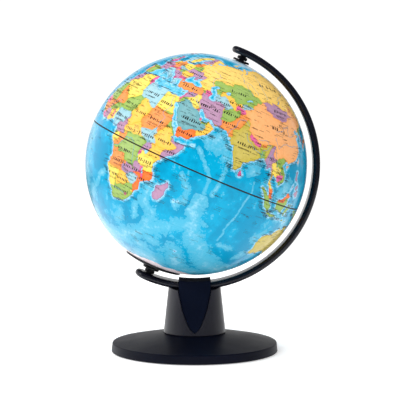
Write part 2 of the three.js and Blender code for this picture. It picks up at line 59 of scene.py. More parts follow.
# ---------------------------------------------------------------- the world, in degrees of longitude and latitude
# Each entry: a colour letter, or ~ for inland water, then its outline.
# A line that starts with a blank continues the one above.
COASTS = """
G -5.9,35.8 -2.9,35.3 -1.8,35.1 0,35.9 3,36.8 5.5,36.8 8,36.9 10,37.3 11,37 10.6,35.7 11.1,35.2
 10.1,34.3 10.1,33.8 11.1,33.2 13.2,32.9 15.3,32.3 15.4,31.5 18,30.6 19.1,30.3 20.1,30.9 20,32
 21.7,32.9 23.1,32.6 25.2,31.6 27.5,31.2 29,30.8 30.3,31.5 31.6,31.5 32.4,31.2 32.6,29.9 32.6,29
 33.6,27.8 33.9,26.8 35.2,25 35.6,24 35.8,22.8 37,21.3 37.2,19.6 37.6,18.6 38.5,18 39.2,15.8
 40.7,14.7 42.4,13.1 43.2,12 42.6,11.5 43.3,11.5 44.6,10.4 46.6,10.8 48.9,11.3 51.2,11.9 51,10.5
 50.8,9.4 49.8,8 48,4.5 46,2.5 44,1.1 42.5,-.4 41.5,-1.8 40.3,-2.6 39.6,-4.1 38.8,-6 39.5,-7
 39.3,-8.5 40.5,-10.5 40.6,-12.5 40.8,-14.8 40,-16.2 38,-17.2 36.8,-18 34.9,-19.8 35.3,-21.5
 35.5,-23.8 34,-24.8 32.8,-25.7 32.9,-26.8 32.5,-28.4 31.3,-29.6 30.2,-31.2 28.5,-32.8 26.5,-33.8
 24.8,-34.1 22.3,-34.1 20,-34.8 18.4,-34.2 18,-32.8 18.3,-31.8 17.2,-29.8 16.4,-28.6 15.3,-27.2
 14.9,-25 14.5,-22.8 13.4,-20.8 12,-18.3 11.8,-16.8 12.5,-13.5 13.8,-10.8 13,-8.8 12.3,-6.1
 11.8,-4.8 10,-2.8 9,-1.2 9.5,.3 9.6,2 9.8,3.5 9,4.1 8.5,4.6 7,4.4 5.9,4.3 5,5.8 4.3,6.3 2.6,6.3
 1.1,5.9 -.3,5.3 -2,4.7 -3.5,5.1 -5.5,5.1 -7.6,4.4 -9.2,5.6 -11,6.6 -13.2,8.4 -13.8,9.6 -15,10.9
 -16.7,12.2 -16.8,13.6 -17.5,14.7 -16.5,15.9 -16.2,18.2 -16.3,19.4 -17,20.9 -16.9,21.9 -15.9,23.8
 -14.8,25.4 -13.4,27.2 -12.9,27.9 -11.2,28.6 -9.8,29.8 -9.7,31.4 -8.6,33.2 -6.8,34.1
K 32.3,31.2 34.2,31.3 34.9,32.8 35.5,33.9 35.9,35.5 36.1,36.6 34.6,36.8 33.7,36.1 32.3,36.1
 30.6,36.8 29.3,36.3 28.2,36.7 27.4,37.1 26.8,38.3 26.8,39.3 26.1,39.5 26.2,40.1 26.1,40.8
 24.5,40.9 23.8,40.3 22.9,40.5 22.7,39.6 23.4,39 24,38.2 23.8,37.8 23.1,37.9 23.1,37.3 22.9,36.6
 22.1,36.8 21.6,37.2 21.2,38.2 21.1,38.4 20.5,39.2 19.5,40.4 19.4,41.6 18.4,42.5 16.3,43.5
 15.1,44.4 14.8,45.2 13.8,44.9 13.6,45.7 12.4,45.4 12.4,44.4 13.6,43.5 14.2,42.4 16,41.9
 17.5,40.9 18.5,40.1 17,40.5 16.6,39.7 17.1,39 16.2,38.1 15.7,38.1 16,39.2 15.6,40.1 14.4,40.7
 13,41.2 11.8,42.1 10.5,43 10,44 8.9,44.4 7.5,43.8 6.5,43.1 4.8,43.4 3.2,43.2 3.1,42.2 .9,41
 -.3,39.5 .1,38.7 -.7,37.7 -2.2,36.8 -4.4,36.7 -5.6,36.1 -6.4,36.8 -7.4,37.2 -8.9,37 -8.8,38.4
 -9.4,38.8 -8.8,40.6 -8.8,42 -9.2,43.1 -7.9,43.7 -3.8,43.5 -1.6,43.4 -1.2,44.9 -1.1,46 -2.3,47.1
 -4.6,47.9 -4.7,48.5 -2.5,48.7 -1.5,48.7 -1.8,49.7 .1,49.5 1.6,50.3 2.5,51.1 4,51.8 4.8,52.9
 6.8,53.5 8.6,53.9 8.3,55 8.2,56.6 9.5,57.2 10.6,57.7 10.3,56.5 9.8,55 10.9,54.2 12.5,54.4
 14.2,53.9 16.5,54.5 18.5,54.7 19.8,54.4 21,55.3 21.1,56.8 22.6,57.7 24.3,57.2 23.5,58.7
 24.6,59.4 28,59.5 30.1,59.9 28.5,60.6 25,60.2 22.9,59.9 21.4,60.8 21.5,62 23,63.7 25.4,65
 24.6,65.8 22.3,65.8 21.3,64.6 18.3,62.8 17.2,61 18.8,60 18,59 16.6,57.9 16.4,56.6 14.6,56
 14.2,55.4 12.9,55.5 12.4,56.5 11.3,58.8 10.6,59.4 9.5,58.9 7,58 5.6,58.9 5.1,60.5 5.1,62
 8.3,63.6 11,65 13,66.5 15,68.2 18.5,69.8 22,70.4 25.8,71.1 30,70.5 31,69.7 34,69.3 38,68.3
 41,67 40,66.1 34.5,66.6 33.3,66.5 35,64.5 37.5,63.9 38,64.8 40.3,64.7 42,66.4 44,66.2 44,68.3
 47,67 50,68.2 54,68.5 58,68.8 60.5,69.8 65,69.2 68,68.3 67,70 67.5,71.8 69.5,72.9 72.8,72.8
 72.5,70.8 73,68.5 71,66.4 73.7,67 74,68.2 76,70 74.8,72.6 77,72 80.5,73.3 86,73.9 87,75 93,76
 98,76.2 104,77.6 110,76.5 113,75.8 113.5,73.8 118,73.2 123,73 127,73.5 129,71.2 133,71.6
 139,72.3 141,72.7 147,72.3 153,70.9 160,69.8 162,69.5 170,69 170.5,70 176,69.8 180,68.8
 185,67.2 190,66 187,64.4 182,65.4 179.3,64.6 179.5,62.6 175,61.9 170.5,60 166,60 163.5,59.9
 162,58 163,56.3 162,54.8 160,53.2 158.5,52.8 156.8,51 155.7,53.5 155.6,56.5 158,58 161,60
 164,61.8 163,62.5 160,61.7 157,61.6 154.5,59.8 150,59.6 145,59.4 142,59 138.5,56.5 135.3,54.8
 138,54 141.3,53 140.7,51 140.4,48.3 137.5,46 135,43.5 132.3,43.2 130.7,42.3 129.6,41 127.6,39.8
 128.3,38.6 129.4,37 129.2,35.3 126.5,34.4 126.5,36.6 125,38 125,39.6 121.6,38.9 121.9,40.7
 119,39.2 117.7,38.9 119,37.3 122.5,37.2 120.3,36 119.3,34.8 121,32.7 121.9,31.2 121.2,30.5
 121.9,29 119.8,26 118,24.4 115,22.7 113.6,22.2 110.5,21.3 110.1,20.4 109.7,21.5 108,21.6
 106.6,20.2 105.7,18.9 107.3,16.8 108.8,15 109.3,12.8 109,11.4 107.2,10.4 106,9 104.8,8.6
 105,10 103.5,10.6 102.5,12.2 100.9,12.6 100.6,13.5 100,13.2 99.4,11 99.3,9.4 100.4,8 101.5,6.8
 103.3,5 103.5,2.8 104.2,1.4 103.4,1.4 101.3,2.9 100.4,5.2 99.7,6.8 98.4,8 98.6,10.5 98.7,12.5
 97.7,15.2 97.2,16.9 95.4,15.8 94.3,16 94.4,18.5 92.3,20.9 91.5,22.6 90,22 88.3,21.7 87,21.3
 85,19.7 82.3,16.8 80.3,15.6 80.1,13.3 79.9,11 79.2,10.2 78.2,8.9 77.5,8.1 76.3,9.8 75.2,12
 74.3,14.7 73,17.5 72.7,20 72.6,21.4 72,21 70.8,20.8 69.1,22.2 70.3,22.9 68.5,23.4 67.1,24.8
 66.4,25.4 62,25.2 59,25.4 57,26.9 55,26.7 52.6,27.6 51,28.8 50,30.2 48.5,30 48,29.6 48.6,28.2
 50.1,26.6 50.8,24.8 51.2,26 51.6,25.2 51.7,24.1 54,24.1 56.1,26.1 56.5,24.8 58.6,23.7 59.8,22.5
 58.6,20.6 57.7,18.9 55.3,17.5 54,17 52.2,15.7 49,14.2 45.1,12.9 43.5,12.7 42.8,15.2 42.6,16.7
 41,18.7 39.1,21 39,22 37.2,24.5 35.3,27.9 34.7,28 34.9,29.5 34.3,27.8 33.2,28.6 32.6,29.9
K -168,65.6 -164,66.5 -162,66.3 -163.5,67.2 -166.5,68.3 -163,69.5 -156.5,71.3 -150,70.4 -141,69.6
 -135.5,69 -134.5,69.6 -128,70.3 -124,69.6 -115,68.3 -109,67.9 -108,67.5 -101.5,67.8 -97.5,68
 -95.8,67.5 -96.5,69 -94.5,71.8 -91.5,69.7 -90.5,68.6 -87.5,67.3 -86,68 -85.5,69.7 -82,69.3
 -81.3,67.5 -84.5,66.3 -87,65.3 -88,64 -92,62.8 -94,61.2 -94.7,58.9 -92.5,57 -88,56.4 -82.3,55.1
 -82.2,53 -80,51.3 -79,51.6 -79,54.2 -76.6,56.5 -78.5,58.8 -77.5,60.6 -78,62.4 -73.7,62.4 -70,61
 -69.6,59 -66,58.8 -64.5,60.3 -62,57.8 -60,55.3 -56,52.8 -56,51.6 -59,50.4 -66.5,50.2 -69.5,48
 -65,49.2 -64.3,48 -65,46.5 -62,45.8 -61,46.9 -60,46 -64,44.5 -66,43.6 -65.5,45 -67,44.9
 -70.3,43.5 -70.7,42.2 -70,41.7 -74,40.6 -74.2,39.4 -75.4,38.5 -76,37 -75.6,35.3 -77.5,34.2
 -79.5,33 -81.3,31.5 -81.2,29.5 -80,27 -80.4,25.3 -81.5,25.9 -82.7,28 -84,30.1 -86,30.4
 -89.3,30.3 -89.3,29.2 -91.5,29.5 -94.7,29.4 -97.2,27.6 -97.4,25 -97.8,22.4 -96.5,19.6 -95,18.6
 -92.5,18.6 -90.7,19.5 -90.3,21 -87.2,21.5 -87.6,19.5 -88.3,18.2 -88.6,15.9 -86,15.9 -83.3,15
 -83.6,12.5 -83.6,10.9 -82,9 -80,9.3 -79,9.5 -77.4,8.7 -78.3,8.1 -80,7.5 -81.6,7.4 -83.5,8.4
 -85.7,10 -86,11.2 -87.6,12.9 -89.5,13.3 -92.2,14.5 -94.6,16.2 -97,15.8 -101,17.4 -104.3,19.1
 -105.5,20.3 -105.5,21.8 -108,25 -109.5,26.5 -112.2,29 -113.2,31.2 -114.8,31.8 -114.7,30.5
 -112.8,28.3 -111.2,26 -109.5,23.1 -110.3,23.5 -112.2,25.5 -115,27.8 -116,30.3 -117.2,32.6
 -120.6,34.5 -122,36.9 -123.8,39.4 -124.3,42 -124,46 -123,48.4 -125,50 -128,51.8 -130.4,54.5
 -133.5,57 -136,58.5 -139.8,59.6 -145,60.4 -148,60.3 -151.8,59.4 -151.5,61 -154,59.3 -158,56.6
 -163,54.7 -164.8,54.6 -161,55.9 -157.6,57.8 -158,58.7 -162,58.7 -162,60 -165.3,61 -166,62
 -164.5,63.2 -161,64 -161.2,64.8 -166,64.5
G -77.4,8.6 -75.6,10.7 -74.2,11.2 -71.7,12.3 -71.3,11 -70,11.8 -68.3,10.6 -64.5,10.2 -62,10.7
 -60.8,9 -59,8 -57,6 -54,5.8 -51.6,4.3 -50,1.5 -50,0 -48,-.9 -44.5,-2.6 -41.5,-2.9 -38.5,-3.8
 -35.3,-5.3 -34.8,-7.5 -36.5,-10.5 -38.5,-13 -39,-16 -39.8,-19.5 -41,-22 -43.5,-23 -46,-24
 -48.6,-26 -48.7,-28.5 -50.3,-30.5 -52.2,-32.5 -53.7,-34.3 -56.5,-34.9 -58.3,-34 -57.2,-35.8
 -57.7,-38 -62,-39 -62.3,-40.8 -65,-41 -64.3,-42.6 -65.4,-44.8 -67.5,-46.2 -65.8,-47.8 -68,-50
 -69,-51.6 -68.4,-52.4 -71,-53.8 -74.5,-52.3 -75.3,-50 -75.5,-47 -74,-44.5 -73,-42 -73.6,-39.5
 -73.2,-37 -72,-34.5 -71.5,-31 -71.3,-28.5 -70.4,-25 -70.2,-20 -70.6,-18.3 -73.5,-16.2
 -76.3,-13.9 -77.5,-11.5 -79.5,-7.5 -81.2,-5.8 -80.3,-3.4 -80.9,-1.5 -80,.5 -78.5,2 -77.2,4
 -77.9,7
C 142.5,-10.8 143.7,-14.2 145.4,-15 146.2,-18.8 149.5,-22.3 150.8,-23.5 153.1,-25.5 153.6,-28.5
 152.5,-32.3 150.9,-34.8 150,-37.2 147.5,-38 146.3,-39 144.6,-38.2 143.5,-38.8 140.6,-38.1
 139.5,-36 138.2,-35.6 138.5,-34.8 137.8,-33 137,-35 135.7,-34.8 135.5,-34.6 134,-32.6
 131.2,-31.5 128.9,-31.7 126,-32.3 123.6,-33.9 119.9,-34 118,-35 115.1,-34.3 115.7,-32
 114.9,-29.6 113.4,-26.2 114.2,-26.3 113.5,-24 114.1,-21.9 116.7,-20.7 119.5,-20 121.5,-19.1
 122.2,-17.3 123.6,-17.3 122.9,-16.5 125,-15 127,-13.9 128.2,-14.9 129.6,-14.9 130.8,-12.5
 132.6,-11.5 135.5,-12.1 136.9,-12.2 135.5,-15 139.2,-17.4 140.9,-17.5 141.6,-15 141.6,-12.6
W -60,-63.5 -57,-63.6 -61,-65.5 -61.5,-68 -61,-73 -62,-75 -75,-78 -50,-78.5 -36,-78 -28,-75.8
 -20,-73.3 -10,-71 0,-69.5 12,-69.8 25,-70 33,-68.7 40,-69.5 50,-67 57,-66.6 68,-68 73,-69.8
 80,-68 90,-66.5 100,-66 110,-66 120,-66.7 130,-66.2 140,-66.8 150,-68.5 160,-70 168,-71.5
 170,-73 165,-77.8 190,-78.5 200,-78.3 205,-77.5 212,-76 222,-75 232,-74 245,-74 258,-73
 268,-73 285,-72.5 290,-70 294,-66.5 300,-63.5 300,-90 -60,-90
W -44,60 -49,61.5 -52,64.5 -53.8,67 -51.5,69.5 -54.5,70.8 -56,73.5 -60,76 -68,76.2 -72,78.1
 -66,79.2 -67,80.6 -58,82 -45,82.3 -32,83.5 -22,82.5 -17,81 -20,79 -19,76 -21.5,73.5 -24,71
 -22.5,70.2 -29,68.2 -36,66 -40,65 -41,62.8
P 49.3,-12 50.5,-15.5 49.7,-16 49.4,-18 47.1,-24.9 45.2,-25.5 43.7,-23.5 43.3,-21.9 44.4,-20
 44,-18 44.5,-16.2 46.5,-15.6 48,-14
M 80,9.8 81.2,8.5 81.8,7 81,6.1 80.1,6.2 79.8,8
G 95.3,5.6 97.5,5.2 100.3,2.7 103.4,.2 103.8,-1 106,-3 105.8,-5.8 104.5,-5.8 102,-3.8 100.4,-1
 98.7,1.8 96.5,3.8
G 105.2,-6.8 106.1,-5.9 108.5,-6.7 110.9,-6.4 112.6,-6.9 114.4,-7.8 114.4,-8.7 110,-8.1 106.5,-7.4
G 109,1.5 109.7,2 111.3,2.6 113,3.2 114.5,4.6 116.7,7 119.2,5.2 117.6,4.2 118,2.2 119,1 117.5,.8
 117.5,-.7 116.2,-2 116,-4 114.6,-4.2 113,-3.1 110.2,-2.9 109.9,-1.3 109,.3
G 119,-3.4 119.4,-5.6 120.4,-5.5 120.4,-3.2 121.2,-2.7 122.3,-4.8 122.9,-4.3 121.6,-1.9
 123.3,-.9 121,-1 120.1,.2 120.8,.5 123.5,.4 125.1,1.6 123,.9 120.9,1.3 119.8,.2 119.6,-1.2
G 131,-.8 132.5,-.4 134.1,-.8 134.4,-2.6 135.3,-3.3 137.8,-1.5 141,-2.6 144.5,-3.8 147.2,-6
 150.7,-10.3 147,-9.3 144,-7.7 142.5,-9.2 141,-9.1 138,-8.2 138,-5.6 135.5,-4.4 133,-4
 132.8,-2.9 130.9,-1.4
G 115,-8.2 116.5,-8.3 118.8,-8.3 119,-8.7 116,-9
G 120,-8.3 122.8,-8.2 122.5,-8.8 120,-8.8
G 123.6,-10.3 125.2,-8.5 127.2,-8.4 125,-9.5
P 120.4,16.1 120.6,18.5 122.2,18.4 121.6,16 123.9,13.1 122.5,13.6 120.7,13.9 120,15
P 122,7 123.5,8.6 125.5,9.7 126.5,7.5 125.5,5.8 124,6.6
P 122,11 123.2,11.5 124.8,12.3 125.6,11.2 124,9.4 122.5,9.6
P 117.2,8.4 119.4,11.3 119,10.2
S 120.2,23 121.5,25.2 121.9,24.8 120.9,22
S 108.7,19.2 110.5,20.1 111,19.6 109.5,18.2
O 131,34 132.5,35.4 136,35.8 137.3,37.4 139.5,38.5 140,40.6 141.3,41.4 142,39.6 140.9,38
 140.8,35.8 139,34.7 137,34.6 135.8,33.5 135,34.6
O 130,33.3 131,33.9 132,33.1 131.3,31.3 130.2,31.3
O 132.4,33.4 134.3,34.3 134.5,33.6 133,32.8
O 140,41.5 141.6,45.4 143.5,44.1 145.5,43.4 143.2,42 141,42.5
K 142,46 142.2,49 142.6,54.2 143.3,52.5 144.5,49 143,49 143.3,47
M -5.6,50.1 -3.5,50.4 -1,50.7 1.4,51.2 .9,51.7 1.7,52.7 .2,53 -.2,54 -1.6,55.3 -3,56 -2,57.6
 -4,57.7 -3.1,58.6 -5,58.6 -5.8,57.4 -5.4,56 -4.7,55.6 -5,54.8 -3.4,54.9 -3,53.9 -3.1,53.4
 -4.5,53.3 -4.2,52.6 -5.2,51.9 -4,51.5 -3,51.4 -4.3,51.1
G -6.2,53.4 -6.3,52.2 -9.5,51.6 -10,53.4 -8.5,54.3 -7.3,55.3 -5.8,54.7
P -22.5,66.2 -21,65.5 -18,66.1 -15,66.2 -13.7,65 -15.5,64.2 -18.8,63.4 -22.5,63.9 -22,64.5
 -24.2,65.4
B 11,79.5 15,80 20,80.2 25,80.1 18,79 20,78.5 17,76.6 13.5,78
K 51.8,71.5 55.5,73.3 56.5,75 62,76.2 68.5,76.9 64,75.8 58.5,74 57,72.2 57,70.7 53.5,70.9
K 95,79 98,80 101,79 104,78.5 100,78
K 47,80.3 55,81.2 62,81 56,80.2
K 138,74 142,75.8 150,75.2 146,74.8 142,73.5
B 12.5,38 15.5,38.2 15.1,36.7 13,37.4
B 8.2,40.8 9.3,41.2 9.7,39.5 8.6,39
P 8.6,42.4 9.4,43 9.4,41.6
B 23.6,35.4 26.2,35.2 24.8,34.9
G 32.4,35 34.5,35.6 33.9,34.9 33,34.6
Y 11.1,55.7 12.5,56 12,55
R 53.4,12.6 54.4,12.6 54,12.3
G 144.7,-40.8 148.3,-40.9 148,-43 146.8,-43.6 145.3,-42.4
P 172.7,-34.5 175.5,-36.7 178.4,-37.6 177,-39.4 175.3,-41.6 175,-40 173.9,-39.4 174.8,-37.8
P 172.7,-40.6 174.2,-41.7 172.8,-43.8 171,-45.8 168.8,-46.6 166.5,-46 168.5,-44 171.2,-42.4
K -61.5,66.6 -68,63.1 -66,62 -72,64.2 -78,64.5 -73.5,66 -72.5,67.8 -78.5,70 -88,70.7 -90,72.5
 -86,73.8 -80,73.5 -74,71.5 -68.5,70.2 -67,69
K -105,69.2 -116,69.2 -118,71.3 -117.5,73 -110,73 -105.5,73.3 -105,71.5
K -125,72 -120.5,71.5 -118,73.3 -121,74.4 -124.5,74.2
K -77,78.2 -76,79.3 -64,81.7 -62,82.6 -75,83.1 -90,81.8 -92,80.5 -85,79 -88,77.5 -82,76.4
K -80,75.6 -90,74.7 -95,76 -88,76.4
K -106,75.2 -115,75.1 -117,76 -108,76.5
K -97,72 -102.3,72.5 -100,73.8 -97.5,73.8
K -91,73 -95,72.5 -95,74 -91,74
K -88,79 -95,79.3 -94,80.8 -89,80.5
K -80.5,63.8 -87,63.8 -85,65.9 -82,64.7
K -59.3,47.8 -56,47 -53,46.9 -53.2,48.6 -55.7,51.5 -57.5,50.2
K -123.6,48.4 -125.3,50.2 -128.2,50.7 -125.7,48.9
P -84.8,22 -82.5,23.1 -79.5,22.8 -76,21 -74.3,20.1 -77.6,19.9 -77.8,20.8 -81,22
Y -74.2,18.4 -73,19.9 -70,19.7 -68.4,18.6 -71.4,17.8
G -78.3,18.3 -76.3,18.1 -77.3,17.8
G -67.2,18.4 -65.7,18.4 -66.5,18
Y -68.4,-52.9 -65.2,-54.7 -68,-55.3 -71.5,-54.5 -70,-53.2
P -61,-51.6 -58,-51.5 -59,-52.2
G -156,20.2 -155,19.5 -155.7,19
M 164.2,-20.2 166.9,-22.1 165.7,-21.8
O 177.3,-17.6 178.5,-17.5 178.3,-18.2
G 148.5,-5.6 152,-4.3 151.5,-5.5 149.5,-6.3
M 155,-5.5 157,-8 161.5,-10.3 160,-9
P 68.8,-48.8 70.3,-49 69.5,-49.8
B 55.2,-20.9 55.8,-21.2 55.5,-21.4
Y 57.3,-20 57.8,-20.3 57.4,-20.5
~ 29.1,41.2 31.5,41.2 33.3,42 35.1,42 36.5,41.3 38.5,41 41.5,41.5 41.3,42.8 39,44.2 37.4,44.8
 38.3,46.5 39,47.2 36.5,46.6 35,46.1 35,45.5 36.5,45.3 35,44.9 33.6,44.5 32.6,45.4 33.5,46.1
 31.5,46.6 30.5,46.2 29.6,45 28.6,44 27.7,42.7 28,41.9
~ 49.2,37.5 51,36.8 53.8,37 53.8,39 53,40 54.5,41.3 52.7,41.8 52.5,43 50.3,44.4 51.3,45.3
 53,45.4 53,46.8 51.2,47.1 49,46.4 47.8,45.5 47,44.5 47.6,43 49.5,41.2 50.3,40.3 49.3,39.2
~ 27,40.6 28,40.4 29.5,40.6 28.8,41 27.5,41
~ 58.3,44.5 60,43.7 61.5,44.5 61.5,46.2 59.5,46.3 58.6,45.6
~ 103.8,51.5 106,51.9 108.5,53.3 109.9,55.6 109,55.3 107.5,53.6 105,52
~ 73.8,45.5 74.5,44.9 77,46.2 79.2,46.3 79,46.8 76,46.8
~ 30,60.2 31.5,59.9 33,60.6 32,61.5 30.5,61
~ 34.5,61.5 35.5,60.9 36.3,61.2 35.3,62.5
~ 31.8,-1 32.5,-2.5 33.8,-2 34.1,-.3 33.2,.3 32,.1
~ 29.3,-3.5 29.4,-5 30.2,-7 31.1,-8.7 30.5,-8.5 29.5,-6.5 29,-4.8
~ 34,-9.6 34.7,-12 35.2,-14.2 34.7,-14 34.2,-12 33.9,-10.5
~ 35.9,4.6 36.2,3.6 36.5,2.5 36,3
~ -92,46.7 -89,48.2 -86.5,48.7 -84.6,47 -85,46.5 -88,46.6 -90.5,46.7
~ -87.7,42 -86.3,42.3 -86.5,44 -85,45.8 -87,45.3 -88,43.5
~ -84.7,45.8 -81.5,46 -80,44.8 -82,43.2 -83.5,43.8 -83.4,45.2
~ -83.3,41.6 -81,41.8 -79,42.8 -81,42.7
~ -79.6,43.3 -76.5,43.5 -76.8,44.1 -79.3,43.8
~ -99,50.5 -97,51 -97.5,53.5 -99,53.5
~ -113,61.5 -109.5,62.5 -112,62.8 -116.5,61.3
~ -123.5,65.3 -118,65.5 -120,66.8 -124.5,66.3
"""
